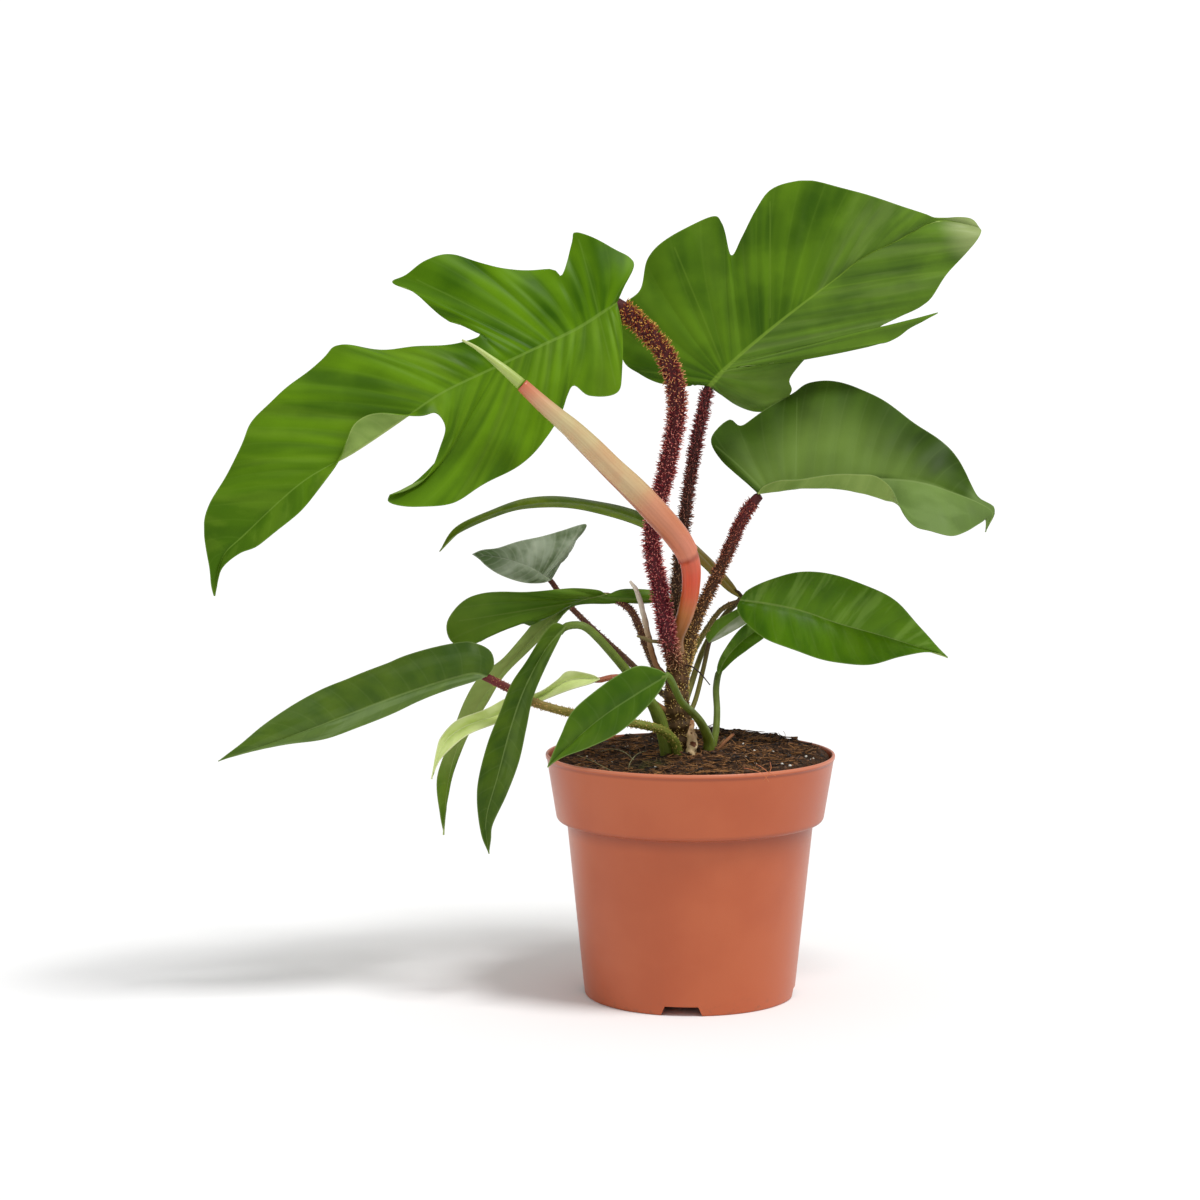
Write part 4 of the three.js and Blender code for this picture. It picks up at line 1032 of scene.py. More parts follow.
# %% [markdown]
# The bar itself is a grid rolled up round its route. Its rings are carried along the route with
# no twist, its seam is merged and its two ends are closed. A curve with a bevel would make the
# same bar, but the rolled grid also carries the length and the turn as a UV map.

# %% A round bar along a route
marks_per_point = 24
fewest_rings = 6


def rings_of(route, step):
    """Centres, directions and radii at even steps along a route."""
    points = [place(*reading[:3]) for reading in route]
    marks = [i / marks_per_point for i in range(marks_per_point * (len(route) - 1) + 1)]
    line = [smooth_point(points, mark) for mark in marks]
    walked = [0]
    for before, after in zip(line, line[1:]):
        walked.append(walked[-1] + (after - before).length)
    count = max(fewest_rings, round(walked[-1] / step))
    rings = []
    for i in range(count + 1):
        goal = walked[-1] * i / count
        k = max(j for j in range(len(walked) - 1) if walked[j] <= goal)
        part = (goal - walked[k]) / (walked[k + 1] - walked[k])
        mark = marks[k] + part * (marks[k + 1] - marks[k])
        start = min(int(mark), len(route) - 2)
        radius = route[start][3] + (mark - start) * (route[start + 1][3] - route[start][3])
        rings.append({"centre": line[k].lerp(line[k + 1], part), "radius": radius * mm,
                      "length": goal, "share": i / count, "mark": mark})
    side = None
    for i, ring in enumerate(rings):
        ahead = rings[min(i + 1, count)]["centre"] - rings[max(i - 1, 0)]["centre"]
        ring["ahead"] = ahead.normalized()
        if side is None:
            side = Vector((0, 1, 0)).cross(ring["ahead"])
        else:
            side = side - side.dot(ring["ahead"]) * ring["ahead"]
        side = side.normalized()
        ring["side"] = side
        ring["up"] = ring["ahead"].cross(side)
    return rings


def outward(ring, turn):
    return math.cos(turn) * ring["side"] + math.sin(turn) * ring["up"]


def bar(rings, sides, shape=lambda ring, turn: 1):
    """A closed bar. Shape gives a share of the radius for a ring and a turn round it."""
    bm = bmesh.new()
    last = len(rings) - 1
    bmesh.ops.create_grid(bm, x_segments=last, y_segments=sides, size=1)
    uv = bm.loops.layers.uv.new("bar")
    bm.verts.layers.float.new("tip")
    along = bm.verts.layers.float.new("along")
    for face in bm.faces:
        for loop in face.loops:
            spot = loop.vert.co
            loop[uv].uv = ((spot.x + 1) / 2, (spot.y + 1) / 2)
    for vert in bm.verts:
        ring = rings[round((vert.co.x + 1) / 2 * last)]
        turn = math.pi * (vert.co.y + 1)
        vert[along] = ring["share"]
        vert.co = ring["centre"] + outward(ring, turn) * ring["radius"] * shape(ring, turn)
    bmesh.ops.remove_doubles(bm, verts=bm.verts, dist=0.001 * mm)
    rim = [edge for edge in bm.edges if edge.is_boundary]
    bmesh.ops.holes_fill(bm, edges=rim, sides=0)
    bmesh.ops.recalc_face_normals(bm, faces=bm.faces)
    return bm


left_length = rings_of(stalks["left_large"]["route"], centimetre)[-1]["length"]
print("the left leaf's stalk is", round(left_length / mm), "mm long")

# %% [markdown]
# The red stalks carry thousands of stiff, fleshy bristles. One bristle is modelled once, as a
# square root drawn out to a bent, blunt tip, and its copies are turned, scaled and set round the
# stalk by the golden angle, each a little uneven in length, stance and colour. Every copy has
# twelve faces, and no hair system is used, because an exported model would lose it. Copies are
# gathered a hundred at a time in a small mesh, because a large mesh is slow to add to.

# %% Bristles
golden_turn = math.pi * (3 - math.sqrt(5))
turn_scatter = 0.9
stance_scatter = 0.36
upward_stance = 0.2
bristle_start = 0.03
bristle_root = 0.5 * mm
bristle_width = 3.2 * mm
bristle_levels = [(0.45, 0.9, 0.06, 0.4), (0.45, 0.55, 0.16, 0.9), (0.1, 0.1, 0.04, 1)]
faintest_mark = 0.4
batch = 100


def bristle_template():
    """One bristle of length 1 along +Z. A level is a height and a width compared with the level
    below, a lean, and a mark that grows from 0 at the root to 1 at the tip."""
    bm = bmesh.new()
    tip = bm.verts.layers.float.new("tip")
    bmesh.ops.create_circle(bm, segments=4, radius=0.1)
    level = list(bm.verts)
    for height, width, lean, mark in bristle_levels:
        made = bmesh.ops.extrude_edge_only(bm, edges=[
            edge for edge in bm.edges if all(vert in level for vert in edge.verts)])
        level = [item for item in made["geom"] if isinstance(item, bmesh.types.BMVert)]
        middle = sum((vert.co for vert in level), Vector()) / 4
        for vert in level:
            vert.co = middle + (vert.co - middle) * width + Vector((lean, 0, height))
            vert[tip] = mark
    bmesh.ops.pointmerge(bm, verts=level, merge_co=middle + Vector((lean, 0, height)))
    return mesh_of(bm, "bristle")


def add_part(bm, part):
    """Adds what was built in one working mesh to another."""
    mesh = mesh_of(part, "part")
    bm.from_mesh(mesh)
    bpy.data.meshes.remove(mesh)


def add_copies(bm, template, places, draw):
    """Adds a copy of the template mesh for each place, which is a matrix and a share of the way
    along. Each copy's marks are scaled at random."""
    marks = [value.value for value in template.attributes["tip"].data]
    for start in range(0, len(places), batch):
        part = bmesh.new()
        tip = part.verts.layers.float.new("tip")
        along = part.verts.layers.float.new("along")
        for matrix, share in places[start:start + batch]:
            before = len(part.verts)
            part.from_mesh(template)
            part.verts.ensure_lookup_table()
            added = part.verts[before:]
            bmesh.ops.transform(part, matrix=matrix, verts=added)
            strength = faintest_mark + (1 - faintest_mark) * draw.random()
            for vert, mark in zip(added, marks):
                vert[tip] = mark * strength
                vert[along] = share
        add_part(bm, part)


def bristle_places(rings, count, length, draw):
    """Places for bristles on a run of rings: for each a matrix and a share of the way along."""
    places = []
    for index in range(count):
        way = bristle_start + (1 - bristle_start) * (index + draw.random()) / count
        spot = way * (len(rings) - 1)
        start = min(int(spot), len(rings) - 2)
        ring, after = rings[start], rings[start + 1]
        out = outward(ring, index * golden_turn + turn_scatter * draw.random())
        stray = Vector([draw.gauss(0, stance_scatter) for _ in range(3)])
        aim = (out + upward_stance * ring["ahead"] + stray).normalized()
        long = length * mm * (0.5 + 0.65 * draw.random())
        turn = aim.to_track_quat("Z", "Y").to_matrix().to_4x4()
        spin = Matrix.Rotation(2 * math.pi * draw.random(), 4, "Z")
        radius = ring["radius"] + (spot - start) * (after["radius"] - ring["radius"])
        root = ring["centre"].lerp(after["centre"], spot - start) + out * (radius - bristle_root)
        width = (0.6 + 0.8 * draw.random()) * bristle_width
        size = Matrix.Diagonal((width, width, long, 1))
        places.append((Matrix.Translation(root) @ turn @ spin @ size, ring["share"]))
    return places


bristle = bristle_template()
print("one bristle has", len(bristle.polygons), "faces")

# %% [markdown]
# Stalks change colour along their length and are streaked lengthwise. Three colour ramps follow
# the length: one for the skin, one for the bristles and one for their tips. The "tip" measure,
# stored on each point of the mesh, tells skin from bristle and root from tip. Pale tips over dark
# skin make a dense coat read as coarse velvet. On the red stalks the skin's dark tone is partly
# its own colour and partly painted shade, for the shadow deep between the bristles.

# %% Stalk finish
stalk_cloud_scale = 160.0
stalk_streak_scale = (3.0, 34.0, 1.0)
stalk_shadow = (0.45, 0.42, 0.4, 1)
stalk_blotches = 0.35
stalk_relief = 0.3
stalk_shine = 0.3
hair_marks = (0.02, 0.3)
tip_marks = (0.32, 0.7)
fine_relief_depth = 0.4 * mm


def bar_streaks(tree, scale):
    """Streaks along a bar, as fine along it and round it as scale says."""
    spot = node(tree, "ShaderNodeUVMap", uv_map="bar").outputs[0]
    stretch = node(tree, "ShaderNodeMapping", {"Vector": spot, "Scale": scale})
    return mottle(tree, stretch.outputs[0], 1.0)


def stalk_finish(name, skin, hair, tips, streak=0.5, gloss=0.5):
    """Skin, hair and tips are the colours of the skin, the bristles and their tips."""
    material, tree, body = start_material(name)
    cloud = mottle(tree, body, stalk_cloud_scale)
    lines = bar_streaks(tree, stalk_streak_scale)
    along, tip = measure(tree, "along"), measure(tree, "tip")
    base = ramp(tree, along, skin)
    dark = blend(tree, 1.0, base, stalk_shadow, "MULTIPLY")
    base = tinted(tree, base, dark, lines, streak)
    base = tinted(tree, base, dark, cloud, stalk_blotches)
    base = tinted(tree, base, ramp(tree, along, hair), between(tree, tip, *hair_marks))
    base = tinted(tree, base, ramp(tree, along, tips), between(tree, tip, *tip_marks))
    rough = maths(tree, "MULTIPLY_ADD", cloud, 0.15, gloss)
    return end_material(material, base, rough, lines, stalk_relief, fine_relief_depth,
                        stalk_shine)


stalk_finishes = {
    # The dark skin here is partly painted shade between the bristles.
    "crimson": stalk_finish(
        "crimson_stalk",
        [(0, (88, 66, 34)), (0.05, (88, 60, 34)), (0.12, (92, 22, 34)), (1, (84, 24, 24))],
        [(0, (130, 98, 54)), (0.1, (146, 44, 58)), (0.7, (144, 46, 52)), (0.82, (146, 60, 36))],
        [(0, (220, 190, 124)), (0.12, (238, 150, 142)), (0.62, (238, 158, 140)),
         (0.8, (246, 196, 104)), (1, (240, 182, 70))]),
    "dark_crimson": stalk_finish(
        "dark_crimson_stalk",
        [(0, (70, 52, 26)), (0.3, (66, 42, 26)), (1, (74, 24, 30))],
        [(0, (112, 90, 54)), (0.45, (108, 66, 52)), (0.8, (126, 44, 50))],
        [(0, (188, 168, 118)), (0.5, (172, 120, 98)), (0.9, (176, 96, 88))]),
    "brown_crimson": stalk_finish(
        "brown_crimson_stalk",
        [(0, (80, 60, 26)), (0.6, (84, 50, 30)), (0.85, (92, 32, 34))],
        [(0, (136, 104, 52)), (0.5, (122, 72, 48)), (0.8, (132, 50, 48))],
        [(0, (252, 218, 130)), (0.35, (222, 168, 106)), (0.75, (190, 112, 92))]),
    "brown": stalk_finish(
        "brown_stalk", [(0, (104, 84, 40)), (0.4, (98, 62, 40)), (1, (102, 48, 40))],
        [(0, (128, 96, 56)), (1, (132, 74, 56))], [(0, (190, 168, 104)), (1, (188, 140, 100))]),
    "two_tone": stalk_finish(
        "two_tone_stalk",
        [(0, (112, 132, 42)), (0.5, (138, 142, 50)), (0.8, (146, 122, 54)), (0.86, (120, 44, 42))],
        [(0, (150, 146, 62)), (0.8, (160, 130, 62)), (0.86, (138, 54, 48))],
        [(0, (230, 204, 112)), (0.86, (236, 176, 122))]),
    "salmon": stalk_finish(
        "salmon_stalk", [(0, (138, 116, 60)), (0.4, (178, 108, 74)), (1, (200, 120, 92))],
        [(0, (170, 120, 70))], [(0, (214, 176, 110))], streak=0.3),
    "olive": stalk_finish(
        "olive_stalk", [(0, (132, 130, 54)), (0.55, (120, 114, 48)), (1, (92, 66, 42))],
        [(0, (136, 124, 62)), (1, (112, 80, 50))], [(0, (206, 182, 98)), (1, (170, 132, 84))]),
    "green": stalk_finish(
        "green_stalk", [(0, (118, 134, 40)), (1, (104, 128, 44))], [(0, (122, 142, 44))],
        [(0, (150, 160, 90))], streak=0.4, gloss=0.4),
    "bark": stalk_finish(
        "young_bark", [(0, (66, 44, 22)), (0.7, (98, 72, 34)), (1, (104, 64, 36))],
        [(0, (118, 86, 42)), (1, (150, 110, 54))], [(0, (226, 192, 108)), (1, (255, 224, 140))],
        streak=0.8, gloss=0.6),
}
print("made", len(stalk_finishes), "stalk finishes")

# %% [markdown]
# No stalk is an even tube, so its radius wavers with a noise, more on a bristled stalk than on a
# smooth one. A noise does this without any modelling by hand. The bristles end a little before
# the seat does. Each stalk draws from a seed of its own, so a change to one leaves the others.

# %% Make the stalks
stalk_sides = 14
stalk_step = 3 * mm
bristled_lumps = 0.06
smooth_lumps = 0.02
bristles_to = 0.8
first_seed = 31


def lump(ring, turn, fineness, length):
    """A noise from -1 to 1 on a bar, finer round it for a higher fineness, and as long as said."""
    spot = (fineness * math.cos(turn), fineness * math.sin(turn), ring["length"] / length)
    return noise.noise(Vector(spot))


def make_stalk(name, stalk, seed):
    draw = random.Random(seed)
    rings = rings_of(seated_route(name), stalk_step)
    rough_rings = [ring for ring in rings
                   if ring["mark"] <= len(stalk["route"]) - 1 + bristles_to]
    count = stalk.get("bristles", 0)
    lumps = bristled_lumps if count else smooth_lumps
    bm = bar(rings, stalk_sides, lambda ring, turn: 1 + lumps * lump(ring, turn, 3, 3 * mm))
    places = bristle_places(rough_rings, count, stalk.get("bristle_mm", 0), draw)
    add_copies(bm, bristle, places, draw)
    finish = stalk_finishes[stalk["finish"]]
    print_faces(make_piece(bm, f"{name}_petiole", [finish], f"{name}_stalk"))


for index, (name, stalk) in enumerate(stalks.items()):
    make_stalk(name, stalk, first_seed + index)

# %% [markdown]
# The stem is short and brown, swollen at the scars that old leaves left, and set with pale
# scales. Its swellings come from one wave along its length. Its scales are bristles again, short
# and broad.

# %% Stem
stem_route = [(684, 800, 2, 8.5), (683, 760, 2, 8.6), (679, 725, 2, 8.2), (676, 700, 2, 7),
              (677, 676, 2, 6.6), (678, 652, 2, 5.4)]
knob_spacing = 9 * mm
knob_share = 0.1
knob_lumps = 0.08
scale_count = 1100
scale_mm = 1.8
soil_share = 0.25


def knobs(ring, turn):
    wave = math.cos(2 * math.pi * ring["length"] / knob_spacing)
    return 1 + knob_share * wave + knob_lumps * lump(ring, turn, 2, 4 * mm)


stem_rings = rings_of(stem_route, step=1 * mm)
stem = bar(stem_rings, sides=36, shape=knobs)
above_soil = [ring for ring in stem_rings if ring["share"] > soil_share]
scales = bristle_places(above_soil, scale_count, scale_mm, random.Random(7))
add_copies(stem, bristle, scales, random.Random(8))
print_faces(make_piece(stem, "knobby_stem", [stalk_finishes["bark"]], "stem"))

# %% [markdown]
# The newest leaf is still rolled up in its sheath, which is red at the foot and fades to cream.
# A fold crosses it where the foot's red ends, and a thin darker line in the ramp is painted shade
# in its crease. The colour runs along the bar's length, so a colour ramp on the UV map paints it.
# The sheath's free edge winds slowly along it and is darker.

# %% New leaf
edge_turn = 0.735
edge_winding = 0.25
edge_share = 0.75
fold_share = 0.31
sheath_streak_scale = (4.0, 26.0, 1.0)
sheath_shadow = (0.72, 0.62, 0.56, 1)
sheath_relief = 0.2
blush_scale = 55.0
blush_share = 0.3
fleck_scale = 260.0
fleck_range = (0.56, 0.62)


def ramp_finish(name, stops, gloss=0.4, streak=0.3, edge=None, spots=None, blush=None):
    """Edge is the colour of the sheath's free edge, spots of its flecks, blush of a soft cloud."""
    material, tree, body = start_material(name)
    spot = node(tree, "ShaderNodeUVMap", uv_map="bar").outputs[0]
    split = node(tree, "ShaderNodeSeparateXYZ", {0: spot}).outputs
    lines = bar_streaks(tree, sheath_streak_scale)
    base = ramp(tree, split["X"], stops)
    dark = blend(tree, 1.0, base, sheath_shadow, "MULTIPLY")
    base = tinted(tree, base, dark, lines, streak)
    if edge:
        wound = maths(tree, "MULTIPLY_ADD", split["X"], edge_winding, -edge_turn)
        away = maths(tree, "PINGPONG", maths(tree, "ADD", wound, split["Y"]), 0.5)
        line = between(tree, away, 0.01, 0.05, edge_share, 0.0)
        upper = between(tree, split["X"], fold_share, fold_share + 0.15)
        base = tinted(tree, base, tone(*edge), line, upper)
    if blush:
        base = tinted(tree, base, tone(*blush), mottle(tree, body, blush_scale), blush_share)
    if spots:
        base = tinted(tree, base, tone(*spots), mottle(tree, body, fleck_scale, *fleck_range))
    return end_material(material, base, gloss, lines, sheath_relief, fine_relief_depth)


sheath_route = [(679, 656, 2, 4), (677, 638, -2, 4.2), (686, 612, -7, 5), (691, 588, -12, 5.3),
                (690, 562, -18, 6.1), (679, 539, -24, 7.2), (655, 511, -33, 7.5),
                (634, 489, -40, 7.3), (612, 468, -46, 6.7), (592, 448, -51, 6.4),
                (573, 430, -55, 5.8), (554, 414, -58, 5), (538, 400, -59, 4.5),
                (522, 385, -60, 3.9)]
tip_route = [(521, 384, -60, 3.4), (505, 370, -60, 2.7), (490, 358, -59, 1.8),
             (475, 347, -58, 1.1), (462, 340, -57, 0.6)]
# The dark stop at 0.31 is painted shade in the crease of the fold.
sheath_stops = [(0, (118, 92, 44)), (0.08, (154, 104, 48)), (0.14, (202, 122, 58)),
                (0.19, (224, 98, 52)), (0.24, (230, 86, 52)), (0.3, (220, 90, 62)),
                (0.31, (172, 62, 48)), (0.325, (220, 132, 104)), (0.43, (204, 128, 96)),
                (0.52, (208, 144, 110)), (0.56, (204, 172, 126)), (0.63, (206, 180, 134)),
                (0.86, (204, 188, 138)), (0.95, (208, 156, 118)), (1, (200, 98, 74))]
tip_stops = [(0, (164, 184, 92)), (0.6, (178, 196, 104)), (1, (198, 208, 140))]
sheath_finish = ramp_finish("new_sheath", sheath_stops, 0.33, 0.4, (150, 74, 52),
                            blush=(202, 124, 84))
tip_finish = ramp_finish("rolled_tip", tip_stops, edge=(128, 150, 70))
roll_low = 0.96
roll_step = 0.06
fold_slant = 0.012
fold_lip = 0.05
fold_fade = 0.05


def rolled(ring, turn):
    """A round bar whose outer edge overlaps, so a low step winds along it."""
    part = (turn / (2 * math.pi) - edge_turn + edge_winding * ring["share"]) % 1
    return roll_low + roll_step * part


def folded(ring, turn):
    """The rolled sheath with a crease across it, which lies higher where it faces the left."""
    crease = fold_share + fold_slant * math.cos(turn)
    above = ring["share"] - crease
    if above > 0:
        lip = fold_lip * math.exp(-(above / fold_slant) ** 2)
    else:
        lip = -fold_lip * math.exp(above / fold_fade)
    return rolled(ring, turn) * (1 + lip)


sheath = bar(rings_of(sheath_route, step=1.2 * mm), sides=32, shape=folded)
print_faces(make_piece(sheath, "new_sheath", [sheath_finish], "new_leaf_sheath"))
rolled_tip = bar(rings_of(tip_route, step=2 * mm), sides=20, shape=rolled)
print_faces(make_piece(rolled_tip, "rolled_new_leaf", [tip_finish], "new_leaf_tip"))

# %% [markdown]
# Two old sheaths have dried at the stem, and a few thin roots and a twig show above the soil.
# They are bars too, crumpled by a noise that grows with their size.

# %% Dried sheaths, roots and twig
dry_stops = [(0, (140, 98, 60)), (0.35, (168, 120, 76)), (0.5, (206, 176, 140)),
             (0.7, (232, 218, 200)), (1, (236, 226, 210))]
paper_stops = [(0, (196, 150, 96)), (0.5, (232, 208, 160)), (0.8, (226, 190, 146)),
               (1, (190, 130, 90))]
root_stops = [(0, (120, 100, 56)), (1, (140, 128, 80))]
twig_stops = [(0, (110, 70, 40)), (1, (176, 118, 74))]
hair_stops = [(0, (56, 40, 30)), (1, (40, 28, 22))]
brown_spots = (112, 62, 32)
small_bars = {
    "dried_thin_sheath": ("thin_sheath", dry_stops, 0.25, None, [
        (672, 682, 0, 1.6), (656, 664, -1, 1.8), (648, 634, 1, 1.9), (643, 612, 2, 1.8),
        (637, 592, 3, 1.6), (630, 581, 4, 0.8)]),
    "dried_papery_sheath": ("papery_sheath", paper_stops, 0.5, brown_spots, [
        (692, 775, -11, 3), (692, 748, -11, 3.6), (692, 736, -11, 3.4), (692, 720, -10, 1)]),
    "side_root": ("tendril", root_stops, 0.15, None, [
        (666, 642, -9, 1.2), (651, 641, -10, 1.2), (644, 638, -10, 1.1), (637, 636, -9, 0.7)]),
    "soil_twig": ("twig", twig_stops, 0.2, brown_spots, [
        (708, 761, -8, 1.2), (718, 750, -7, 1.2), (726, 741, -6, 1.1), (734, 734, -5, 0.9)]),
    "hair_root": ("curled_root", hair_stops, 0.15, None, [
        (680, 667, 0, 0.6), (690, 666, -5, 0.5), (700, 673, -8, 0.45), (710, 685, -8, 0.35)]),
}


def make_small_bar(name, solid, stops, crumple, spots, route):
    def crumpled(ring, turn):
        return 1 - crumple * (0.5 + lump(ring, turn, 1.5, 3 * mm))

    bm = bar(rings_of(route, step=0.7 * mm), sides=18, shape=crumpled)
    finish = ramp_finish(name, stops, gloss=0.7, streak=0.6, spots=spots)
    print_faces(make_piece(bm, name, [finish], solid))


for name, readings in small_bars.items():
    make_small_bar(name, *readings)

# %% [markdown]
# The pot is moulded plastic, so every corner is rounded, and its lip is a low bead that catches
# the light. Its wall is one closed outline spun round the axis. The outline's corners are rounded
# first, by a small arc at each.

# %% The pot's outline
pot_height = 143 * mm
rim_radius = 85 * mm
band_foot_radius = 79 * mm
band_foot_height = 108 * mm
body_top_radius = 72.5 * mm
body_top_height = 103 * mm
foot_radius = 62 * mm
wall = 1.6 * mm
floor_height = 6 * mm
boss_radius = 20 * mm
underside_slope = 2 * mm
bead = 0.5 * mm
bead_height = 3 * mm
pot_steps = 168


def rounded(corners, steps=5):
    """The outline with each corner, an (r, z, radius) triple, replaced by a short arc."""
    points = [Vector((r, 0, z)) for r, z, _ in corners]
    outline = []
    for index, corner in enumerate(points):
        radius = corners[index][2]
        if radius == 0:
            outline.append(corner)
            continue
        enter = corner + (points[index - 1] - corner).normalized() * radius
        leave = corner + (points[(index + 1) % len(points)] - corner).normalized() * radius
        for step in range(steps + 1):
            share = step / steps
            outline.append((1 - share) ** 2 * enter + 2 * share * (1 - share) * corner
                           + share ** 2 * leave)
    return outline


pot_corners = [
    (0, 0, 0), (boss_radius, 0, 0.4 * mm), (boss_radius + underside_slope, floor_height - wall, 0),
    (foot_radius - wall - underside_slope, floor_height - wall, 0), (foot_radius - wall, 0, 0),
    (foot_radius, 0, 1.4 * mm), (body_top_radius, body_top_height, 0.8 * mm),
    (band_foot_radius - 0.6 * mm, body_top_height + 1 * mm, 2.6 * mm),
    (rim_radius - 1.5 * bead, pot_height - bead_height, 0.8 * mm),
    (rim_radius, pot_height - 0.7 * bead_height, 0.6 * mm),
    (rim_radius, pot_height, 0.9 * mm), (rim_radius - wall, pot_height, 0.6 * mm),
    (band_foot_radius - wall, band_foot_height, 2 * mm),
    (body_top_radius - wall, body_top_height + wall, 1.5 * mm),
    (foot_radius - wall, floor_height, 2.5 * mm), (0, floor_height, 0),
]
outline = rounded(pot_corners)
print("the pot's outline has", len(outline), "points")

# %% [markdown]
# The foot has four drain notches with slanted sides, and the floor has a ring of drain holes.
# Both are cut with one Boolean, and the cutter is thrown away afterwards.

# %% Spin the pot and cut its drains
notch_height = 5.5 * mm
notch_width = 24 * mm
notch_slant = 0.2
notch_count = 4
notch_turn = math.radians(-96)
notch_depth = 20 * mm
drain_radius = 4 * mm
drain_ring = 40 * mm
drain_count = 8


def spun(points, steps):
    """An outline spun round the axis of the pot."""
    bm = bmesh.new()
    verts = [bm.verts.new(point) for point in points]
    chain = [bm.edges.new(pair) for pair in zip(verts, verts[1:])]
    bmesh.ops.spin(bm, geom=verts + chain, cent=(0, 0, 0), axis=(0, 0, 1),
                   angle=2 * math.pi, steps=steps, use_merge=True)
    bmesh.ops.remove_doubles(bm, verts=bm.verts, dist=0.01 * mm)
    bmesh.ops.recalc_face_normals(bm, faces=bm.faces)
    return bm


def add_notch(bm, turn):
    """A block across the foot, narrower at its top than at its foot."""
    middle = turn @ Vector((foot_radius, 0, 0))
    across = turn @ Vector((0, 1, 0))
    size = Matrix.Diagonal((notch_depth, notch_width, 2 * notch_height, 1))
    shift = Matrix.Translation((foot_radius, 0, 0))
    made = bmesh.ops.create_cube(bm, size=1, matrix=turn @ shift @ size)
    for vert in made["verts"]:
        slant = notch_slant if vert.co.z < 0 else -notch_slant
        vert.co += slant * across * (vert.co - middle).dot(across)


def drain_cutter():
    bm = bmesh.new()
    for index in range(notch_count):
        add_notch(bm, Matrix.Rotation(notch_turn + 2 * math.pi * index / notch_count, 4, "Z"))
    for index in range(drain_count):
        turn = 2 * math.pi * (index + 0.5) / drain_count
        spot = Vector((math.cos(turn), math.sin(turn), 0)) * drain_ring
        bmesh.ops.create_cone(bm, cap_ends=True, segments=24, radius1=drain_radius,
                              radius2=drain_radius, depth=4 * floor_height,
                              matrix=Matrix.Translation(spot))
    return add_object("drain_cutter", mesh_of(bm, "drain_cutter"))


pot_body = spun(outline, pot_steps)
print("the spun pot has", len(pot_body.faces), "faces")

# %% [markdown]
# The plastic is a satin terracotta colour with a faint cloud in it, a fine grain and a little dry
# soil dust at the foot. Painted shade darkens it where the wall meets the band and under the lip,
# and a painted highlight makes the top of the lip pale. Each is a mask made from height, and the
# dust's also from a mottle.

# %% Plastic finish and the pot itself
# Heights of the painted shade below the band and under the lip, and of the painted highlight on the
# lip's top.
band_painted_shade = [body_top_height + step * mm for step in (-9, 0.5, 1, 4)]
lip_painted_shade = [pot_height - step * mm for step in (4.5, 2.8, 2.6, 1.8)]
lip_painted_highlight = [pot_height - step * mm for step in (1.8, 1)]
dust_top = 12 * mm
dust_share = 0.35
painted_shade_share = 0.5
painted_highlight_share = 0.4
pot_crease = 35


def plastic_finish():
    material, tree, body = start_material("terracotta_plastic")
    height = node(tree, "ShaderNodeSeparateXYZ", {0: body}).outputs["Z"]
    grain = mottle(tree, body, scale=2200.0)
    cloud = mottle(tree, body, scale=14.0)
    dust = mottle(tree, body, scale=300.0, low=0.55, high=0.75)
    foot = between(tree, height, 0.0, dust_top, 1.0, 0.0)
    # Painted shade where the wall meets the band and under the lip.
    painted_shade = maths(tree, "ADD", zone(tree, height, *band_painted_shade), zone(tree, height, *lip_painted_shade))
    painted_highlight = between(tree, height, *lip_painted_highlight, 0.0, painted_highlight_share)
    base = blend(tree, cloud, tone(182, 87, 47), tone(190, 96, 55))
    base = tinted(tree, base, tone(120, 84, 62), dust, foot, dust_share)
    base = tinted(tree, base, tone(126, 54, 34), painted_shade, painted_shade_share)
    # Painted highlight along the top of the lip.
    base = tinted(tree, base, tone(226, 150, 120), painted_highlight)
    rough = maths(tree, "MULTIPLY_ADD", grain, 0.08, 0.3)
    return end_material(material, base, rough, grain, relief=0.12, relief_depth=0.2 * mm,
                        shine=0.45)


pot = make_piece(pot_body, "nursery_pot", [plastic_finish()], "pot")
cutter = drain_cutter()
drains = pot.modifiers.new("drains", "BOOLEAN")
drains.operation = "DIFFERENCE"
drains.solver = "EXACT"
drains.object = cutter
settle(pot, pot_crease)
bpy.data.objects.remove(cutter)
print_faces(pot)

# %% [markdown]
# The soil is heaped round the stem, at the right and at the back. It is an outline spun round the
# axis, whose top is then raised by a formula and roughened with noise.

# %% Soil
soil_edge_height = 134 * mm
soil_below_lip = 1.5 * mm
soil_clearance = 0.55 * mm
soil_rings = 44
soil_steps = 150
middle_rise = 4.5 * mm
right_rise = 5 * mm
front_rise = 1.5 * mm
back_rise = 8.5 * mm
heap_rise = 6 * mm
heap_spread = 30 * mm
wave_rise = 0.7 * mm
wave_length = 27 * mm
ridge_rise = 0.5 * mm
ridge_length = 16 * mm
lump_length = 6 * mm
heaped_lumps = 0.9
heaped_from = 60 * mm
wall_zone = 0.94
wall_heap = 2 * mm


def inside_radius(height):
    share = (height - band_foot_height) / (pot_height - band_foot_height)
    return band_foot_radius + share * (rim_radius - band_foot_radius) - wall


soil_radius = inside_radius(soil_edge_height) - soil_clearance


def soil_height(x, y):
    """The height of the soil's top before it is roughened."""
    right = right_rise * x / soil_radius
    outer = (front_rise if y < 0 else back_rise) * (y / soil_radius) ** 2
    heap = heap_rise * math.exp(-(x * x + y * y) / (2 * heap_spread ** 2))
    turn = 2 * math.pi / wave_length
    waves = wave_rise * math.sin(turn * x + 1) * math.cos(turn * y)
    ridges = ridge_rise * math.sin(2 * math.pi / ridge_length * (x + y))
    return soil_edge_height + middle_rise + right + outer + heap + waves + ridges


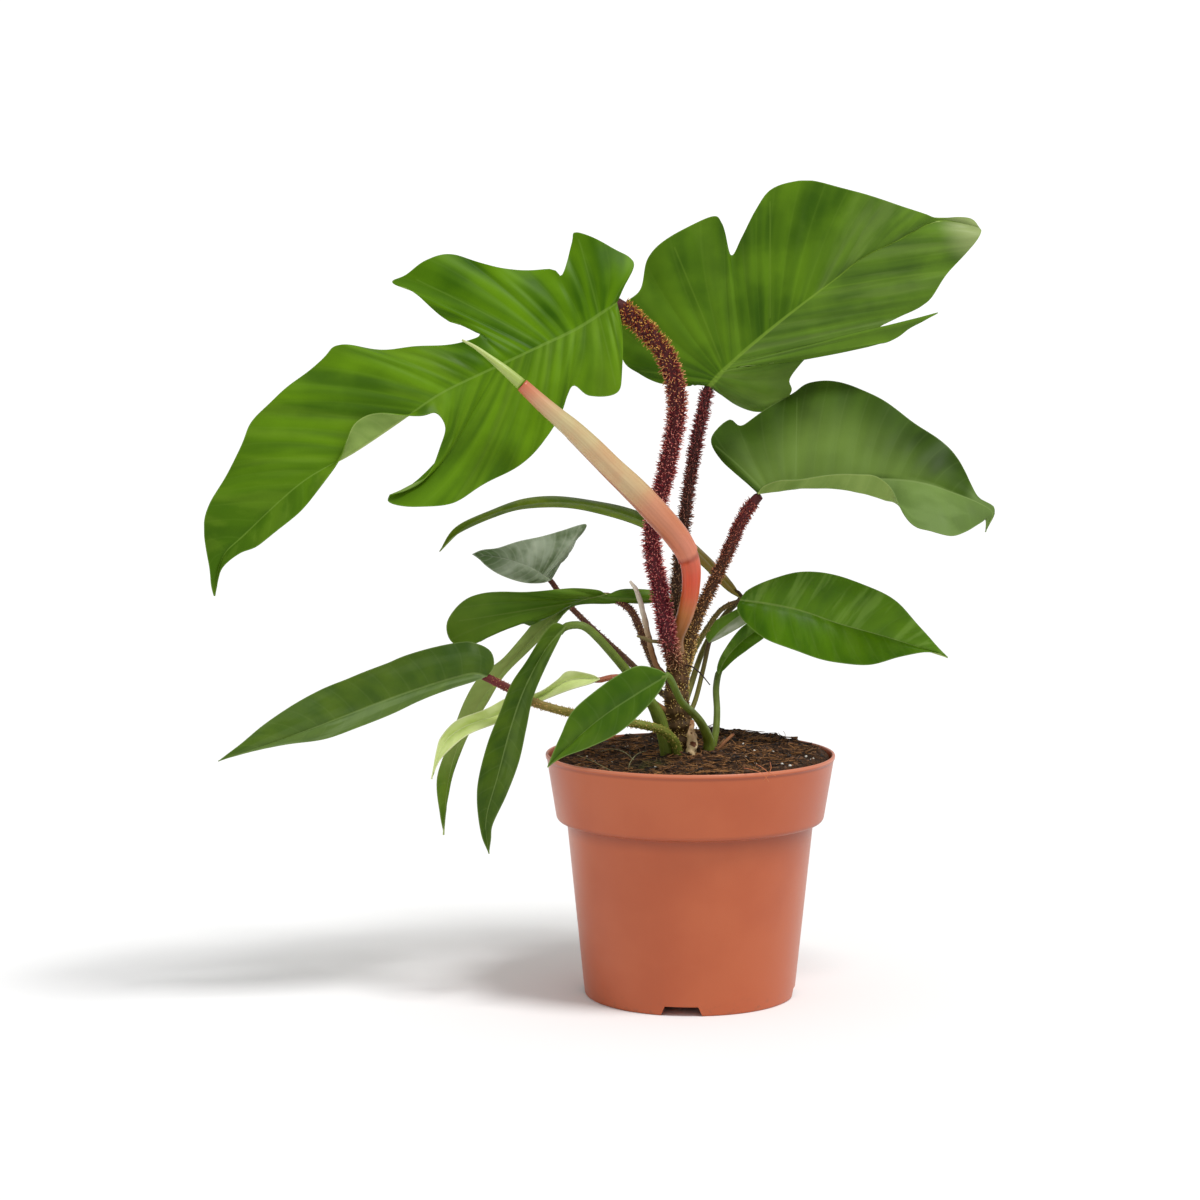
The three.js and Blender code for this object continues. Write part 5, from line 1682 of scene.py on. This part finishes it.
def soil_lumps(x, y):
    """Lumps that are larger at the back and at the right, where the soil is heaped."""
    spot = Vector((x, y, 0)) / lump_length
    size = 1 + heaped_lumps * min(1, max(0, (x + y) / heaped_from))
    return size * mm * noise.fractal(spot, 0.8, 2.1, 4)


def soil_top(x, y):
    """The height of the roughened top, which is kept low beside the wall."""
    height = soil_height(x, y) + soil_lumps(x, y)
    near_wall = math.hypot(x, y) / soil_radius
    lip = pot_height - soil_below_lip
    return min(height, lip + wall_heap) if near_wall > wall_zone else height


def on_soil_at(column, row, lift=0):
    """The point of the soil's top that shows at a pixel, or a point that much above it."""
    edge = round(rim_radius / mm)
    for depth in range(1 - edge, edge):
        point = place(column, row, depth)
        if point.z <= soil_top(point.x, point.y) + lift:
            return point
    return point


moss_centre = on_soil_at(648, 764)
moss_radius = 17 * mm
moss_core = 0.3 * moss_radius
moss_share = 0.65


def mossy(tree, body, share, base):
    """The base colour with a patch of moss on it, stronger where share is high."""
    away = node(tree, "ShaderNodeVectorMath", {0: body, 1: moss_centre}, operation="DISTANCE")
    near = between(tree, away.outputs["Value"], moss_core, moss_radius, moss_share, 0.0)
    return tinted(tree, base, tone(58, 84, 34), near, share)


def soil_finish():
    material, tree, body = start_material("dark_peat")
    cloud = mottle(tree, body, scale=220.0)
    fine = mottle(tree, body, scale=1100.0)
    base = blend(tree, cloud, tone(48, 29, 15), tone(94, 62, 36))
    base = tinted(tree, base, tone(26, 17, 11), fine, 0.5)
    base = mossy(tree, body, cloud, base)
    height = maths(tree, "ADD", cloud, fine)
    return end_material(material, base, 0.85, height, relief=0.8, relief_depth=1 * mm, shine=0.2)


def soil_body():
    room = wall + soil_clearance
    base = floor_height + soil_clearance
    side = [(0, base), (foot_radius - room - 3 * mm, base), (foot_radius - room, base + 3 * mm),
            (body_top_radius - room, body_top_height + room),
            (band_foot_radius - room, band_foot_height + soil_clearance)]
    top = [(soil_radius * (1 - i / soil_rings), soil_edge_height) for i in range(soil_rings + 1)]
    bm = spun([(r, 0, z) for r, z in side + top], soil_steps)
    for vert in bm.verts:
        if vert.co.z > soil_edge_height - soil_clearance:
            at_wall = math.hypot(vert.co.x, vert.co.y) > 0.999 * soil_radius
            height = soil_top(vert.co.x, vert.co.y)
            vert.co.z = min(height, pot_height - soil_below_lip) if at_wall else height
    return bm


print_faces(make_piece(soil_body(), "peat_soil", [soil_finish()], "soil"))

# %% [markdown]
# What makes soil look like soil is loose stuff: crumbs, wood fibres and white perlite. A crumb is
# a small uneven ball, a fibre is a bent three-sided strand, and each is modelled once and copied
# with its own size and turn.

# %% Loose stuff on the soil
crumb_lumps = 0.45
fibre_thickness = 0.034
tilt_scatter = 0.18


def template_mesh(bm, name):
    """The template as a mesh whose points are all marked 1, so that each copy gets its own tone."""
    tip = bm.verts.layers.float.new("tip")
    for vert in bm.verts:
        vert[tip] = 1
    return mesh_of(bm, name)


def crumb_template(seed):
    bm = bmesh.new()
    bmesh.ops.create_icosphere(bm, subdivisions=1, radius=1)
    for vert in bm.verts:
        vert.co *= 1 + crumb_lumps * noise.noise(vert.co * 1.3 + Vector((seed, 0, 0)))
    return template_mesh(bm, "crumb")


def fibre_template(bend):
    """A strand of length 1 along +X, three-sided, bent to one side and a little upward."""
    bm = bmesh.new()
    bmesh.ops.create_cone(bm, cap_ends=True, segments=3, radius1=1, radius2=0.4, depth=1,
                          matrix=Matrix.Rotation(math.radians(90), 4, "Y"))
    long = [edge for edge in bm.edges if abs(edge.verts[0].co.x - edge.verts[1].co.x) > 0.5]
    bmesh.ops.subdivide_edges(bm, edges=long, cuts=4, use_grid_fill=False)
    for vert in bm.verts:
        curve = 4 * vert.co.x ** 2
        vert.co.y = vert.co.y * fibre_thickness + bend * curve
        vert.co.z = vert.co.z * fibre_thickness + 0.3 * bend * (vert.co.x + 0.5) ** 2
    return template_mesh(bm, "fibre")


def on_soil(draw, reach):
    """A random place on the soil, out to a share of its radius."""
    radius = soil_radius * reach * math.sqrt(draw.random())
    turn = 2 * math.pi * draw.random()
    x, y = radius * math.cos(turn), radius * math.sin(turn)
    return Vector((x, y, soil_top(x, y)))


def scatter(name, templates, finish, seed, count, small, large, flat=1, reach=0.97, rise=0,
            picked=()):
    """Copies of the templates at random places on the soil, the first ones at the given pixels."""
    draw = random.Random(seed)
    places = [[] for _ in templates]
    for index in range(count):
        size = small + (large - small) * draw.random() ** 2
        turn = Matrix.Rotation(2 * math.pi * draw.random(), 4, "Z")
        tilt = Matrix.Rotation(draw.gauss(0, tilt_scatter), 4, "X")
        tilt = tilt @ Matrix.Rotation(draw.gauss(0, tilt_scatter), 4, "Y")
        spot = on_soil(draw, reach) + Vector((0, 0, rise))
        if index < len(picked):
            spot, size = on_soil_at(*picked[index]), large
        shape = Matrix.Diagonal((size, size * (0.6 + 0.5 * draw.random()), size * flat, 1))
        places[index % len(templates)].append((Matrix.Translation(spot) @ turn @ tilt @ shape, 0))
    bm = bmesh.new()
    bm.verts.layers.float.new("tip")
    for template, spots in zip(templates, places):
        add_copies(bm, template, spots, draw)
    print_faces(make_piece(bm, name, [finish]))


def plain_finish(name, dark, light, scale):
    """A mottled finish in which each copy is also darker or lighter as a whole."""
    material, tree, body = start_material(name)
    cloud = mottle(tree, body, scale)
    own = between(tree, measure(tree, "tip"), faintest_mark, 1.0, -0.5, 0.6)
    share = maths(tree, "ADD", cloud, own, clamp=True)
    base = mossy(tree, body, share, blend(tree, share, tone(*dark), tone(*light)))
    rough = maths(tree, "MULTIPLY_ADD", cloud, 0.1, 0.75)
    return end_material(material, base, rough, cloud, relief=0.4, relief_depth=fine_relief_depth)


crumbs = [crumb_template(seed) for seed in range(4)]
fibres = [fibre_template(bend) for bend in (0.02, 0.14, -0.1, 0.3)]
white_spots = [(743, 744), (773, 752), (782, 764), (587, 757), (612, 762), (655, 768),
               (746, 757), (754, 751), (790, 766), (806, 757), (813, 759), (756, 764)]
scatter("soil_crumbs", crumbs, plain_finish("crumb", (26, 15, 8), (116, 76, 42), 260.0),
        seed=11, count=1300, small=0.4 * mm, large=2.3 * mm, flat=0.5)
scatter("soil_fibres", fibres, plain_finish("fibre", (28, 16, 8), (160, 110, 60), 200.0),
        seed=12, count=1700, small=3 * mm, large=16 * mm, reach=0.9, rise=0.6 * mm)
scatter("soil_perlite", crumbs, plain_finish("perlite", (206, 200, 188), (240, 238, 230), 400.0),
        seed=13, count=46, small=0.4 * mm, large=1.05 * mm, flat=0.9, picked=white_spots)

# %% [markdown]
# A few single strands can be told apart: pale root hairs that arch over the soil at the left, and
# orange fibres that hang over the lip at the front. Each is a very thin bar through a few points
# of its own. A point is a pixel and how far it stands above the soil, or a depth for the strands
# that hang over the lip.

# %% Single strands
hair_lines = [
    [(577, 755, 0), (590, 760, 2), (602, 766, 3), (612, 771, 1), (620, 774, 0)],
    [(628, 772, 0), (630, 763, 4), (636, 755, 5), (642, 752, 2), (646, 751, 0)],
    [(600, 752, 0), (612, 749, 3), (624, 752, 3), (634, 760, 0)],
]
lip_lines = [
    [(744, 768, -80), (754, 770, -82.4), (763, 774, -82.6), (769, 782, -82.2)],
    [(756, 764, -76), (763, 768, -81.4), (768, 772, -81.8), (776, 776, -80.6)],
    [(770, 762, -74), (771, 768, -80.6), (768, 775, -82), (763, 781, -82.6)],
]
strand_radius = 0.17 * mm


def make_strands(name, lines, finish):
    bm = bmesh.new()
    for line in lines:
        route = [(*point, strand_radius / mm) for point in line]
        add_part(bm, bar(rings_of(route, step=1.5 * mm), sides=6))
    print_faces(make_piece(bm, name, [finish]))


def over_soil(line):
    """The line's points with the depth of the soil below each in the place of its lift."""
    return [(column, row, on_soil_at(column, row, lift * mm).y / mm) for column, row, lift in line]


make_strands("pale_root_hairs", [over_soil(line) for line in hair_lines],
             plain_finish("root_hair", (158, 154, 108), (206, 204, 160), 60.0))
make_strands("lip_fibres", lip_lines,
             plain_finish("lip_fibre", (196, 112, 70), (220, 150, 100), 60.0))
